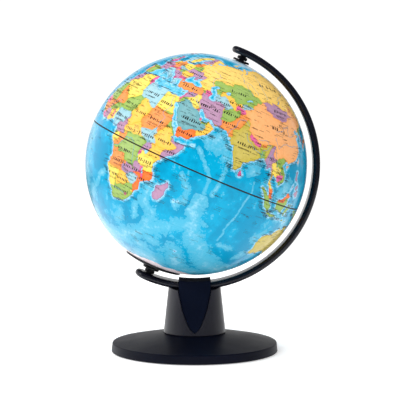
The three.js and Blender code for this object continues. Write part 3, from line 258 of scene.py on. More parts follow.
# Country areas, painted in this order; on the coast side they may run out over the sea.
LANDS = """
P -13.2,27.7 -8.7,27.7 -8.7,28.7 -5.5,30 -3.6,30.9 -3.8,31.7 -1.2,32.2 -1.7,33.2 -2,35.4 -5,37
 -12,35 -14,28
B -19,20.5 -13,21.3 -13,23.4 -12,23.4 -12,26 -8.7,26 -8.7,27.7 -14,27.7 -19,24
G -18,16 -16.3,16.5 -14.5,16.6 -12.3,14.8 -11.4,15.6 -5.5,15.5 -6.6,25 -4.8,25 -8.7,27.3 -8.7,26
 -12,26 -12,23.4 -13,23.4 -13,21.3 -18,21.3
O -12.2,14.8 -11.4,12.3 -9.3,12.4 -8,10.2 -6,10.4 -5.2,11.8 -2.8,13.6 -.5,15 3.8,15.6 4.2,19.2
 3.2,19 -4.8,25 -6.6,25 -5.5,15.5 -11.4,15.6
Y -8.7,27.3 -4.8,25 1.2,21.1 3.3,19 4.3,19.2 12,23.5 9.8,26.4 9.9,28.9 9.1,32.2 7.7,33.3 8.3,35
 8.6,38 -2,38 -1.7,33.2 -1.2,32.2 -3.8,31.7 -3.6,30.9 -8.7,28.7
M 8.6,38 8.3,35 7.7,33.3 9.1,32.2 10.2,30.3 11.5,33.2 12,38
G 4.2,19.2 3.8,15.6 1,15 .2,14.9 2.1,12.4 3.6,11.7 4,13.5 7,13.1 10,13.3 13.5,13.7 15.4,16.9
 15,21 15.9,23.4 14.2,22.6 12,23.5
B 11.5,33.5 10.2,30.3 9.9,28.9 9.8,26.4 12,23.5 14.2,22.6 15.9,23.4 24,19.5 24,20 25,20 25,31.6
 24,33.5 15,34
Y 25,22 37.5,22 36,25 34.9,29.5 34.2,31.5 25,33
O 24,19.5 24,15.7 22.4,14.2 21.9,12.6 22.9,11 24.5,8.7 27.9,9.6 31,9.8 32.7,12.2 34,9.5
 34.3,10.6 36.1,12.7 36.5,14.3 37,17 39,18 38,22 25,22 25,20 24,20
B 24.5,8.7 27.9,9.6 31,9.8 32.7,12.2 34,9.5 33,7.8 35.9,4.6 33.9,4.2 30.8,3.5 29.2,4.4 27.4,5.1
 25.5,6.5
K 24,19.5 15.9,23.4 15,21 15.4,16.9 13.5,14 14,12.5 15,10 14,10 15.5,7.5 18.6,8 19,9 22.4,11.1
 21.9,12.6 22.4,14.2 24,15.7
B 2.7,6 2.7,9 3.6,11.7 4,13.5 7,13.1 10,13.3 13.5,13.7 14.6,11.5 13.2,9.6 12,7 10,7 8.8,5.8
 8.5,3.5 4,3
Y 1.6,5.5 2.8,5.5 2.7,9 3.6,11.7 2.1,12.4 .9,11 1.6,9
M 1.2,5.5 1.7,5.5 1.6,9 .9,11 0,11 .5,8
K -3.2,4.5 1.2,4.5 1.2,6 .5,8 0,11 -2.8,11 -2.8,9 -2.5,8 -3.2,6
G -5.5,10.4 -2.8,9.6 -2.8,11 0,11 .9,11 2.1,12.4 .2,14.9 -.5,15 -2.8,13.6 -5.2,11.8
P -7.5,4 -3,4.5 -3.2,6 -2.5,8 -2.8,9.6 -5.5,10.4 -8,10.2 -8.2,7.6 -8.5,6.5 -7.4,5.6
O -15,11 -13.7,12.6 -11.4,12.3 -9.3,12.4 -8,10.2 -8.2,7.6 -9.5,8.5 -10.6,9.3 -12.4,9.9 -13.5,9
 -15,10
G -13.5,9 -12.4,9.9 -10.6,9.3 -10.3,8.4 -11.5,6.8 -13.5,7
M -11.5,6.8 -10.3,8.4 -9.5,8.5 -8.2,7.6 -8.5,6.5 -7.4,5.6 -7.5,4 -11,5.5
M -18,12.4 -11.4,12.3 -12.2,14.8 -14.5,16.6 -18,16.2
Y -17,12.4 -13.7,12.6 -15,10.9 -17,11
P 8.5,3.5 8.8,5.8 10,7 12,7 13.2,9.6 14.6,11.5 14,12.5 14.6,12.9 15,10 14,10 15.5,7.5 14.5,6
 14.6,4.5 16.2,2.2 13.3,2.2 9.8,2.2 9,3
K 14.5,6 15.5,7.5 18.6,8 19,9 22.4,11.1 22.9,11 24.5,8.7 25.5,6.5 27.4,5.1 25,5 22.4,4.1 20,5
 18.5,3.6 18.5,4.4 16.2,2.2 16.6,3.5 14.6,4.5
Y 9,1 11.3,1 11.3,2.2 13.3,2.2 13,1.2 14.4,0 14,-2.4 12.5,-2.3 11.1,-3.9 8,-1
G 9.5,1 11.3,1 11.3,2.2 9.5,2.4
O 11.1,-3.9 12.5,-2.3 14,-2.4 14.4,0 13,1.2 13.3,2.2 16.2,2.2 18.5,3.6 18,1 17.6,-.6 16.3,-2.1
 15.3,-4.3 13,-5 12,-5.2
G 12,-6 13,-4.6 15.3,-4.3 16.3,-2.1 17.6,-.6 18,1 18.5,4.4 20,5 22.4,4.1 25,5 27.4,5.1 29.6,4.5
 31,2.5 29.7,0 29.2,-1.6 29,-2.8 29.3,-4.5 30.8,-8.3 28.9,-8.5 28.6,-9.5 28.5,-12 29.8,-12.2
 29.8,-13.4 28.4,-12.4 26,-11.9 24,-11 22,-11 21.8,-7.3 19.5,-7 17,-8 16.4,-5.9 13,-5.9 12,-6.1
O 11,-6 13,-5.9 16.4,-5.9 17,-8 19.5,-7 21.8,-7.3 22,-11 24,-11 24,-13 22,-13 22,-16.2
 23.3,-17.6 21.4,-18 18.5,-17.4 14,-17.4 11,-17.2
P 22,-13 24,-13 24,-11 26,-11.9 28.4,-12.4 29.8,-13.4 29.8,-12.2 28.5,-12 28.6,-9.5 28.9,-8.5
 30.8,-8.3 33,-9.4 33.2,-12 32.7,-13.7 30.2,-15 28.9,-16 26.7,-18 25.2,-17.8 23.3,-17.6 22,-16.2
Y 30.5,-1 34,-1 37.7,-3.1 39.2,-4.7 41,-7 40.6,-10.5 37.5,-11.7 34.6,-11.5 34.5,-9.7 33,-9.4
 30.8,-8.3 29.3,-4.5 30.7,-3
P 29.7,0 31,2.5 30.8,3.5 33.9,4.2 35,1.9 34,.2 34,-1 30.5,-1 29.6,-1.3
M 29,-2.8 29.2,-1.6 30.4,-1.1 30.8,-2.4 30.7,-3 29.5,-4.5 29.2,-3.5
K 34,-1 34,.2 35,1.9 33.9,4.2 35.9,4.6 38.1,3.6 41.9,3.9 41,2.8 41,-.9 41.6,-1.7 40.5,-3
 39.2,-4.7 37.7,-3.1
K 35.9,4.6 33,7.8 34,9.5 34.3,10.6 36.1,12.7 36.5,14.3 37.9,14.9 40.2,14.5 42.4,12.4 41.8,11
 43,9 44,9 47.9,8 45,5 41.9,3.9 38.1,3.6
G 36.5,14.3 37,17 38.6,18.2 40,16 43.2,12.6 42.4,12.4 40.2,14.5 37.9,14.9
B 41.8,11 42.4,12.4 43.5,12.7 43.4,11.4 42.9,10.9
P 42.9,10.9 43.4,11.5 47,12 52,12.5 51.5,9 47,1 42,-2 41,-.9 41,2.8 41.9,3.9 45,5 47.9,8 44,9
 43,9
R 40.6,-10.5 37.5,-11.7 34.6,-11.5 34.6,-13 35.9,-15 35.3,-17 34.3,-14.5 32.7,-13.7 30.2,-15
 30.4,-16 32.9,-16.7 33,-19 32.5,-21 31.3,-22.4 32,-24.4 32,-26.8 33.2,-26.9 36,-24 36,-20
 41.5,-16
M 33,-9.4 34.5,-9.7 34.6,-13 35.9,-15 35.3,-17 34.3,-14.5 32.7,-13.7 33.2,-12
B 25.2,-17.8 26.7,-18 28.9,-16 30.4,-16 32.9,-16.7 33,-19 32.5,-21 31.3,-22.4 29.4,-22.2
 27.7,-20.5 26.2,-19
Y 11,-17.2 14,-17.4 18.5,-17.4 21.4,-18 23.3,-17.6 25,-17.6 23.3,-17.9 21,-18.3 21,-22 20,-22
 20,-28.4 17.4,-28.7 16,-28.8 14,-24
K 20,-22 21,-22 21,-18.3 23.3,-17.9 25.2,-17.8 26.2,-19 27.7,-20.5 29.4,-22.2 27,-23.7
 25.6,-25.6 23,-25.4 21,-26.9 20,-24.8
G 16,-28.8 17.4,-28.7 20,-28.4 20,-24.8 21,-26.9 23,-25.4 25.6,-25.6 27,-23.7 29.4,-22.2
 31.3,-22.4 32,-24.4 32,-26.8 33.5,-26.9 32,-30 28,-34 20,-36 16,-34
M 27,-29.6 28.2,-28.7 29.4,-29.4 28.2,-30.6
Y 30.9,-26 32.1,-26.2 31.8,-27.3 30.8,-27
U 27.5,57.5 28,59.5 27.8,60.5 31.5,62.9 29.5,64.8 30,67.5 28.5,69 29,69.6 31,70.2 40,72 60,82
 110,82 150,78 192,74 192,64 180,60 165,50 150,44 145,46 142,52 140,46 135,42 131,42.4 131,43
 133,45 135,48.4 131,47.8 127.5,50 125.5,53 121,53.3 120,52.5 117.8,49.6 116.7,49.9 113,49.6
 110,49.2 106.5,50.3 102,51.4 98.3,51.8 98,50 92.3,50.8 87.8,49.1 83.4,51 80,50.8 76.9,54.3
 73,54.2 71,54.2 68.2,55 61,53.9 61.5,51.2 58.5,51 55,50.6 51.5,51.5 47,50.2 46.5,48.5 49,46.4
 47.5,45 47.5,43 48.5,41.9 46.5,41.8 42,43.5 40,43.5 37,45 38.2,47 39.8,47.8 40,49.6 35.6,50.4
 33.8,52.3 31.8,53.2 30.9,55.6 28.2,56.1
O 26,40 26,42 28,42 30,41.8 36,42.3 41.5,41.6 43.5,41 44.8,39.7 44.4,38 44.8,37.2 42.4,37.1
 38,36.8 36.7,36.3 36,35.8 35.5,36.4 31,35.8 26,36.5
P 35.6,35.9 36.7,36.3 38,36.8 42.4,37.1 41.2,34.5 38.8,33.4 36.4,32.4 35.8,33 36.4,34.6
Y 38.8,33.4 41.2,34.5 42.4,37.1 44.8,37.2 46,35.5 45.5,33.9 47.8,31 48.6,29.9 47,29.9 44.7,29.2
 42,31.1 39.2,32.1
G 35,29.3 35.5,32.6 36.4,32.4 38.8,33.4 39.2,32.1 37,31.5 38,30.5 36.1,29.2
M 34.2,31.3 34.9,29.5 35.5,31.5 35.8,33 36.4,34.6 35.6,34.7 34.6,32
T 34.5,28 36.1,29.2 38,30.5 37,31.5 39.2,32.1 42,31.1 44.7,29.2 46.5,29.1 47.5,28.6 48.8,28.3
 51,25.5 51,24.5 52,24 52.6,22.9 55.1,22.6 55.7,22 55,20 52,19 49,18.5 47,17 43.4,17.4
 42.6,16.4 40,19 37.5,24
M 46.6,29.1 48.3,30.1 48.6,28.4 47.5,28.6
R 42,16.5 43.4,17.4 47,17 49,18.5 52,19 53.2,16.7 52,14.5 45,12 43,12
K 52,19 55,20 55.7,22 55.1,22.6 56.3,24.9 57,24.5 60.5,22.5 58,17 53.2,16.6
G 51.5,24.2 52.6,22.9 55.1,22.6 55.9,24.9 56.4,26.3 54,25.4 51.6,24.6
M 50.7,24.6 51.7,24.8 51.3,26.3 50.6,25.5
P 44.4,38 44.8,39.7 48,39.6 48.9,38.4 50,37.3 54,37.4 57,38.2 61.2,36.6 60.6,34 61,31.4 61.8,31
 60.9,29.8 63.2,27.2 61.6,25 57,25.4 55,26.3 50,29.2 48.6,29.9 47.8,31 45.5,33.9 46,35.5
 44.8,37.2
O 61,29.4 66.4,29.8 69.3,31.9 69.5,33.1 71,34 71.5,36.3 74.9,37.2 77.8,35.5 75.5,32.3 74.5,31
 73,29 70.5,28 69.6,27 70.3,25.7 71.1,24.4 68.2,23.6 66,24.5 61.6,24.8 63.2,27.2 60.9,29.8
G 60.6,34 61.2,35.6 62.5,35.3 64.8,37.1 66.5,37.4 68,36.9 71,38.4 71.6,36.7 74.9,37.3 71.5,36.3
 71,34 69.5,33.1 69.3,31.9 66.4,29.8 61,29.4 61.8,31 61,31.4
C 68.2,23.6 71.1,24.4 70.3,25.7 69.6,27 70.5,28 73,29 74.5,31 75.5,32.3 77.8,35.5 79,32.5
 78.8,31.2 81,30.2 80.1,28.8 83,27.5 88.1,26.4 88.2,27.9 88.9,27.3 92,26.9 92,27.8 97,28.2
 96.2,27.2 94.6,25.2 94,24 93,22 92.3,23.5 91.2,24.1 92.2,25.1 89.8,25.3 88.1,26.2 88.7,24.2
 89,21.5 82,14 80,7.5 76,7 72,19 68,22
M 80.1,28.8 81,30.2 86,28 88.1,27.9 88.1,26.4 83,27.5
O 88.9,27.3 90.5,28.2 92,27.8 92,26.9 89,26.8
G 88.1,26.2 89.8,25.3 92.2,25.1 91.2,24.1 92.3,23.5 92.5,20.8 90,21 89,21.5 88.7,24.2
S 73.5,39.5 80.2,42.2 80.3,45 82.5,45.3 83,47.2 85.5,47.1 87.8,49.1 91,47 91,45 95.3,44.2
 96.4,42.7 105,41.6 111.8,43.7 112,45 119.7,46.7 116,47.8 117.8,49.6 120,52.5 121,53.3
 125.5,53 127.5,50 131,47.8 135,48.4 133,45 131,43 130.6,42.4 128,42 126,41 124.3,40 122,39
 123,37 120,35 123,31 122,27.5 118,23.5 110,21 108.1,21.6 105.3,23.3 102.1,22.4 101.1,21.6
 99,22.1 97.6,24 98.7,27.5 97,28.3 92,27.8 88.9,27.9 86,28 81,30.2 78.8,31.2 79,32.5 77.8,35.5
 74.9,37.2
P 92.3,20.8 92.6,22 93,22 94,24 94.6,25.2 96.2,27.2 97.5,28.4 98.7,27.5 97.6,24 99,22.1
 101.1,21.6 100,20.3 98,19.7 97.4,18.4 98.9,16.2 98.2,15 99.2,12.7 98.8,10 97.5,10 96,15 93.5,16
Y 98.2,15 98.9,16.2 97.4,18.4 98,19.7 100,20.3 101.2,19.5 101,17.8 102.1,18.2 104.7,17.4
 105.5,15.3 105.4,14.3 102.5,13.6 102.9,11.7 100.5,12 100.5,9 102,6.2 101,5.8 100,6.5 98,7.8
 98.8,10 99.2,12.7
G 100,20.3 101.1,21.6 102.1,22.4 104.5,20.4 104,19 107,16 107.5,14.5 105.5,14.3 105.5,15.3
 104.7,17.4 102.1,18.2 101,17.8 101.2,19.5
G 102.1,22.4 105.3,23.3 108,21.5 106,20 107.5,16.8 110,13 109,10.5 105,8 104.5,10.4 106.4,11.6
 107.5,12.3 107.5,14.5 107,16 104,19 104.5,20.4
M 102.9,11.7 102.5,13.6 105.4,14.3 107.5,14.5 107.5,12.3 106.4,11.6 104.5,10.4 103,10.8
R 100.1,6.5 101,5.8 102,6.2 104.5,4 104.5,1.3 103,1.2 100,4
R 109.4,2 110.5,.9 112.2,1.4 114.8,1.5 115.8,4.3 118,4.2 119.5,5.2 117,7.5 113,4.5 110,2.5
P 87.8,49.1 92.3,50.8 98,50 98.3,51.8 102,51.4 106.5,50.3 110,49.2 113,49.6 116.7,49.9
 115.6,47.9 119.7,46.7 112,45 111.8,43.7 105,41.6 96.4,42.7 95.3,44.2 91,45 91,47
G 46.5,48.5 49,46.4 51,47 53,46.8 53,45.3 51.3,45 50.3,44.2 52.5,42.3 54,42.3 56,41.3 56,45
 58.6,45.6 61.2,44.3 65,43.7 66.5,42 68,41 70.9,42.3 74,43.2 79,42.7 80.3,45 82.5,45.3 83,47.2
 85.5,47.1 87.8,49.1 83.4,51 80,50.8 76.9,54.3 73,54.2 71,54.2 68.2,55 61,53.9 61.5,51.2
 58.5,51 55,50.6 51.5,51.5 47,50.2
K 56,41.3 56,45 58.6,45.6 61.2,44.3 65,43.7 66.5,42 68,41 71,42.2 73,40.8 71,40 67.8,39.5
 68,37 66.5,37.4 64,39 62,40.5 60,42.2 58.5,42.7
B 52.5,41.7 54,42.3 56,41.3 58.5,42.7 60,42.2 62,40.5 64,39 66.5,37.4 64.8,37.1 62.5,35.3
 61.2,35.6 61.2,36.6 57,38.2 54,37.4 53,39 52.5,40.5
B 69.3,39.9 73,40.8 71,42.2 70.9,42.3 74,43.2 79,42.7 80.2,42.2 76,40.4 73.5,39.5
M 67.8,39.5 69.3,40.8 71,40 73.5,39.5 75,38.3 74.9,37.3 71.6,36.7 71,38.4 68,37
Y 40,43.5 42,43.5 46.5,41.8 45,41.2 41.5,41.5
M 45,41.2 46.5,41.8 48.5,41.9 50.5,40.3 48.9,38.4 48,39.6 46.5,38.9 46,40.2
G 43.5,41.1 45,41.2 46,40.2 46.5,38.9 44.8,39.7
G 124.3,40 126,41 128,42 130.6,42.4 129.7,41 127.5,39.5 128.5,38.4 126.5,37.8 124.6,38
P 126.5,37.8 128.5,38.4 130,37 129.5,35 126,34 125.5,36.5
P 22.1,48.4 24,50.8 24,51.8 30.6,51.4 33.8,52.3 35.6,50.4 40,49.6 39.8,47.8 38.2,47 36.5,44.5
 33,44 30.5,45.2 28.2,45.4 30,46.4 29.2,48 26.7,48.3 24.9,47.8
G 23.6,52.6 24,51.8 30.6,51.4 31.8,53.2 30.9,55.6 28.2,56.1 26.6,55.6 25.6,54.2 23.6,53.9
Y 14.2,53.9 14.7,52 15,51 18.6,49.9 22.6,49.1 24,50.8 23.6,52.6 23.6,53.9 22.8,54.4 19.5,54.5
 18,55.2
O 6.1,53.6 6.9,52.3 6,51 6.3,49.5 8.2,49 7.6,47.6 10,47.4 13,47.5 13.8,48.7 12.2,50.3 15,51
 14.7,52 14.2,53.9 12,54.7 9,54.9 8,54.8
P -5,48.5 -1.5,43.3 .7,42.6 3.3,42.3 6,42.9 7.5,43.8 6.8,45.3 6,46.4 7.6,47.6 8.2,49 6.3,49.5
 4,50.2 2.5,51.2 -2,49.5
G -9.5,43.8 -9,42 -6.4,41.7 -7,40 -7,38.2 -7.4,37 -6,36 -1,36.5 1,40.5 3.4,42.3 .7,42.7
 -1.8,43.4 -5,44
O -10,42 -8.8,42.2 -6.4,41.7 -7,40 -7,38.2 -7.4,37 -9.5,36.8
B 6.8,45.3 7.5,43.7 9.5,43 12,41 15,39 12,38 12,36.5 15.5,36.4 17,38 19,40 14,43 12.6,44.5
 13.7,45.6 13.5,46.5 12.2,47 10.4,46.6 8.5,46.3
B 4,58 11,59 12,61 12.5,64 14,66 18,68.4 20.5,69 26,69.9 29,69.5 31,70.2 26,72 15,70 4,62
Y 11,59 12,61 12.5,64 14,66 18,68.4 20.5,69 24,67.5 24.2,65.8 21.5,64.5 18,62 19,60 17,56
 14,55 12.5,56
P 20.5,69 24,67.5 24.2,65.8 21.5,64 21,61 22.5,59.5 27.8,60.5 31.5,62.9 29.5,64.8 30,67.5
 28.5,69 29,69.6 26,69.9
O 20.8,55.3 21,56.8 24,59.6 28,59.5 27.5,57.5 28.2,56.1 26.6,55.6 25.6,54.2 23.6,53.9 22.8,54.4
K 20.5,46.2 22.1,48 24.9,47.8 26.7,48.3 28.2,45.5 29.9,45.2 28.6,43.7 25,43.7 22.7,44.2
 21.4,44.9
M 22.4,44.2 25,43.7 28.7,43.7 28,42 26,41.8 23,41.3 22.4,42.4
B 20,39.7 21,40.8 23,41.3 26,41.8 26.5,40.6 25,38 28.5,36 24,34.7 20,37
P 13.5,45.5 16.5,46.5 18.9,45.9 20.5,46.2 21.4,44.9 22.7,44.2 22.4,42.4 23,41.3 21,40.8
 19.4,41.8 15,44
M 19.3,41.8 20.5,42 21,40.8 20,39.7 19.2,40.5
G 16.2,46.9 18.9,45.9 20.5,46.2 22.9,48 20,48.3 17,47.8
M 9.6,47.3 13,47.5 13.8,48.7 17,48.6 16.2,46.9 13.5,46.5 10.4,46.8
B 12.2,50.3 15,51 18.6,49.9 22.6,49.1 22.1,48.4 20,48.3 17,48 13.8,48.7
M 6,46.4 7.6,47.6 9.6,47.5 10.4,46.8 8.5,46 7,45.9
Y 2.5,51.2 4,50.2 6.3,49.5 6,51 6.9,52.3 7,53.6 4,53
Y 8,54.9 9.5,54.8 13,54.9 12.5,56.2 10.7,58 8,57.2
G -125,48.5 -123,49 -95,49 -89.5,48 -84.5,46.5 -82.5,45.3 -82.5,42.5 -79,43 -76.5,44.2 -74.8,45
 -71.5,45 -70.3,46 -69,47.4 -67.5,47 -67,44.5 -69,41 -75,34 -79,31 -79,24 -82,24 -84,29
 -97,25.9 -99.5,27.5 -101.4,29.8 -103,29 -104.5,29.6 -106.5,31.8 -108.2,31.8 -108.2,31.3
 -111,31.3 -114.8,32.5 -117.2,32.5 -122,34 -126,40
G -141,70.5 -141,60.3 -137.5,59 -135,59.5 -130,56 -130,54.5 -134,54 -170,52 -172,65 -168,70
 -156,72
O -117.2,32.5 -114.8,32.5 -111,31.3 -108.2,31.3 -106.5,31.8 -104.5,29.6 -103,29 -101.4,29.8
 -99.5,27.5 -97,25.9 -96,22 -93,18 -86,22 -86.5,20.5 -88.3,18.4 -89.2,17.9 -91,17.3 -90.4,16.1
 -92.2,14.5 -96,14.5 -106,18 -111,22 -117,29
M -92.2,14.5 -90.4,16.1 -91,17.3 -89.2,17.9 -88,18 -88,15.7 -89.3,14.4 -90,13.5
Y -89.3,14.4 -88,15.7 -83,15.5 -83.2,15 -86,13.8 -87.5,13 -89,13.2
P -87.5,13 -86,13.8 -83.2,15 -83,11 -85.7,11
P -70.4,-18.3 -69.5,-17.5 -68.5,-20 -67.5,-22.8 -68.5,-25 -69.9,-29 -70,-33 -71,-37 -71.7,-42
 -71.6,-46 -73,-50 -71.9,-52 -68.5,-52.3 -68.6,-55 -66,-55.5 -70,-57 -77,-50 -75,-40 -72.5,-30
 -71.5,-18.3
Y -67.5,-22.8 -66,-21.8 -62.8,-22 -57.6,-25.5 -58.5,-27.3 -56,-27.4 -54.6,-25.6 -53.8,-27
 -57.6,-30.2 -58.2,-34 -56,-36.5 -61,-41 -63,-46 -65,-50 -64,-55 -68.6,-55 -68.5,-52.3
 -71.9,-52 -73,-50 -71.6,-46 -71.7,-42 -71,-37 -70,-33 -69.9,-29 -68.5,-25
B -57.6,-30.2 -53.4,-33.8 -54.5,-35.5 -58.4,-34
M -62.6,-22.2 -58,-20.2 -58,-22.2 -54.5,-24 -54.6,-25.6 -56,-27.4 -58.5,-27.3 -57.6,-25.5
K -69.5,-17.5 -69,-12.4 -65.4,-9.8 -65,-12 -60.5,-13.8 -60,-16.2 -58.2,-16.5 -57.6,-19
 -58,-20.2 -62.6,-22.2 -66,-21.8 -67.5,-22.8 -68.5,-20
O -70.4,-18.3 -69.5,-17.5 -69,-12.4 -70.6,-11 -70.6,-9.5 -73.2,-9.4 -73.9,-7.4 -70,-4.3
 -70.3,-2.6 -75.2,0 -75.6,-1.6 -78.4,-3.4 -80.3,-4.4 -82.5,-5 -78,-14 -74,-17
P -80.3,-4.4 -78.4,-3.4 -75.6,-1.6 -75.2,0 -78.8,1.4 -81,1 -82,-3
Y -78.8,1.4 -75.2,0 -70.3,-2.6 -70,-4.3 -69.4,-1 -69.8,1.7 -67,1.2 -67.8,4 -67.5,6.2 -72,7
 -72.7,9 -71.3,12 -73,12.5 -77,10 -77.9,7.2 -79,4
R -71.3,12 -72.7,9 -72,7 -67.5,6.2 -67.8,4 -67,1.2 -63.4,2.1 -64.7,4.1 -60.7,5.2 -61.4,6.2
 -59.8,8.2 -61,11 -71,12.7
M -60.7,5.2 -59.8,4.5 -59,1.5 -57,2 -57.3,5.8 -58,8 -59.8,8.2 -61.4,6.2
B -57.3,6 -57,2 -54.5,2.3 -54,5.9
P -54,5.9 -54.5,2.3 -52.5,2.5 -51.5,4.5 -53,6
O 141,-2 141,-9.5 148,-11 152,-10 152,-3
"""
# Sea-floor ridges: half width in mm on the ball, then the crest line.
RIDGES = """
7 -33,55 -29,48 -31,42 -35,36 -43,28 -46,22 -45,14 -35,7 -28,1 -13,-3 -13,-15 -13,-30 -15,-42
 -8,-50 0,-54
2 57,11 62,6 67,0 68,-8
8 68,-10 67,-17 71,-25
8 70,-25 60,-31 50,-37 38,-46 25,-53 10,-55 0,-54
11 70,-25 78,-36 88,-42 100,-48 115,-50 130,-50 145,-56 160,-62 175,-63
0.9 90,6 89,-10 88,-29
3 91,-31 100,-31
8 68,-46 72,-53 80,-59
3.5 55,-4.5 60,-10 60,-15 57,-20
2.2 73,14 73,2 72,-7
6 46,-28 45,-40
3 35,-28 36,-35
3 10,-20 2,-28 -8,-35
9 -107,20 -104,8 -103,-5 -112,-20 -112,-35 -118,-48 -140,-56 -160,-62 -175,-64
2.5 205,19 192,25 172,32 170,42 166,52
4 162,-22 166,-30 170,-38
3 185,-18 182,-32
4 -82,-1 -92,0
4 -75,-17 -82,-22 -95,-25
8 65,21 66,15
8 89,20 87,11
6 42,-15 40,-25
5 25,-36 22,-42
8 112,9 109,3 116,-6
6 125,-9 132,-8
6 110,-20 113,-17
4 112,-33 111,-35
9 45,-62 60,-62
5 40,-53 44,-53
5 47,-45 53,-46
8 92,-62 105,-60
7 2,-28 -8,-35
7 2,39 12,39.5 19,35.5 27,34 33,33.5
7 59,19 61,14.5 66,17
6 70,17 71,11
"""
RIVERS = """
31.2,31 31,29 31.5,27 33,25.5 32.5,23 31,21 31.5,19.5 33.8,18 32.6,15.5 32.6,13 32,9.5 31,7 31.5,3.5
 32.5,.5
12.5,-6 15.5,-4.3 17.5,-1 18.5,1.5 22,2.2 25,.5 26,-4 27,-9 28.5,-11
6,4.5 6.7,7.5 5,10.5 3.5,12.5 0,16.3 -3,16.7 -5,14 -9,10
36.2,-18.8 33,-16.3 28.5,-16.3 25.5,-17.8 23,-15 22.5,-12
16.7,-28.6 20,-28.5 24,-29 27,-30
48.5,30 46,31.8 44,33.3 42,34.6 39,35.8 38.5,38.5
44.3,33.2 43.5,35.5 42,37.3
67.5,24 68.5,27 71,29.5 72,33.5 75.5,34.5 79,32.5
90,22.5 88,24.5 84,25.7 80,26.8 78,29.5
91,23 90,25.5 95,27.8 92,29.2 86,29.2
95,16.2 95.5,20 97,24.5 98.5,28
106,9.8 105.5,12.5 105,15.5 101,18 100.5,22 98,27.5
121.5,31.6 117,31 113,30 108,30.5 104,29 101,27 98,32
118.8,37.5 114,35 110.5,35 111,40 106,39 103,36 98,35
48,46 46,48.5 46,51.5 50,54 46,56.2 40,57.5
66.7,66.5 66,63 69,60.5 76,59 81,56 84,53
70,60.5 70,57.5 76,53 79,50.5
83,71 86.5,66 90,61 92.5,56 94,52.5
126.5,72.5 124,67 129.5,62.5 120,60 112,58 106,54.5
140.5,53 137,49 131,47.8 126,51 121,53.3
29.5,45.2 26,43.8 21,44.8 18.9,47 12.5,48.8 9,48.3
32.5,46.5 35,48.3 31,50 30.5,54
-50.5,-.5 -55,-2 -60,-3 -65,-3 -70,-4 -75,-5 -76,-9
-58.3,-34 -60.5,-31.5 -58.5,-27.3 -54.5,-25 -51,-20.5
-62,9 -65,7.5 -67.5,6
-89.5,29.2 -91.2,31.5 -90,35 -90.5,38.8 -91,41.5 -93.5,45
-90.3,38.8 -95,39.3 -98,42.8 -102,47.5 -110,47.7
-134.5,69 -130,65.5 -123,61.5 -117,61
-64,49.2 -70.5,47 -74,45.4 -76.3,44.2
139,-35.5 141.5,-34 145,-35 148,-36
"""
# Small islands, printed as dots.
ISLES = """
55.5,-4.6 53.7,-5.3 56.6,-7.3 57.6,-20.3 55.5,-21.1 63.4,-19.7 59.6,-16.6 56.3,-10.4 43.5,-11.9
 45.1,-12.8 73.3,3.2 73.2,6.5 72.8,10.6 72.4,-7.3 92.8,12.2 93.7,7.2 96.9,-12.1 105.6,-10.5
 69.6,-49.3 51.7,-46.4 37.8,-46.8 77.5,-38.2 73.5,-53.1 -5.7,-15.9 -14.4,-7.9 -12.3,-37.1 6.6,.3
 3.4,-54.4 -24,16 -25.5,37.7 -16.5,28.3 -16.9,32.7 -64.7,32.3 -61,14.5 -90.5,-.6 -109.4,-27.1
 -149.4,-17.6 -139.2,-9.5 -159.8,-21.2 -157.9,21.4 -171.8,-13.8 -175.2,-21.2 173,1.5 171,7.2
 158.2,6.9 144.8,13.4 134.5,7.4 142.2,27 166.6,-.5 168.3,-17.7 167.9,-29 158.9,-54.6 166.1,-50.7
 -36.7,-54.3 -26.5,-57.8 -8.5,71 -7,62 -31,-3.8 -29.3,-20.5 -105,19 -118,29 -174,52 179,52
"""


def printed(lon, lat):
    """Where this print puts a place: the south is drawn short, and the Bay of Bengal and the Horn of Africa sit low."""
    if -65 < lat < 0:
        lat += 4.3 * math.sin(math.pi * lat / -65) ** 1.5
    bengal = 4.5 * math.exp(-((lon - 84) / 13) ** 2 - ((lat - 22) / 8) ** 2)
    horn = 2.0 * math.exp(-((lon - 50) / 7) ** 2 - ((lat - 11) / 6) ** 2)
    return lon - 0.6 * horn, lat - bengal - horn


def outlines(text, where=printed):
    """Each entry as (first word, [(longitude, latitude), ...])."""
    found = []
    for line in text.strip().splitlines():
        words = line.split()
        if not line.startswith(" "):
            head = words.pop(0) if "," not in words[0] else ""
            found.append((head, []))
        found[-1][1].extend(where(*(float(v) for v in w.split(","))) for w in words)
    return found


def broken(a, b, rough, step):
    """Points from a up to, but without, b: a wandering line made by midpoint displacement, always the same for two ends."""
    swap = b < a
    p, q = (b, a) if swap else (a, b)
    rng = random.Random("%.2f %.2f %.2f %.2f" % (p + q))
    shrink = max(0.2, math.cos(math.radians((p[1] + q[1]) / 2)))
    length = math.hypot((q[0] - p[0]) * shrink, q[1] - p[1])
    chain = [p, q]
    straight = min(p[1], q[1]) <= -89
    while length > step and not straight:
        length /= 2
        finer = [chain[0]]
        for u, v in zip(chain, chain[1:]):
            d = rng.gauss(0, rough)
            east, north = v[0] - u[0], v[1] - u[1]
            finer.append(((u[0] + v[0]) / 2 - north * d / shrink, (u[1] + v[1]) / 2 + east * shrink * d))
            finer.append(v)
        chain = finer
    if swap:
        chain.reverse()
    return chain[:-1]


def natural(ring, rough, step=0.3):
    return [p for a, b in zip(ring, ring[1:] + ring[:1]) for p in broken(a, b, rough, step)]


# ---------------------------------------------------------------- a world grid of land and countries
CELL = 0.1
COLS, ROWS = int(360 / CELL), int(180 / CELL)


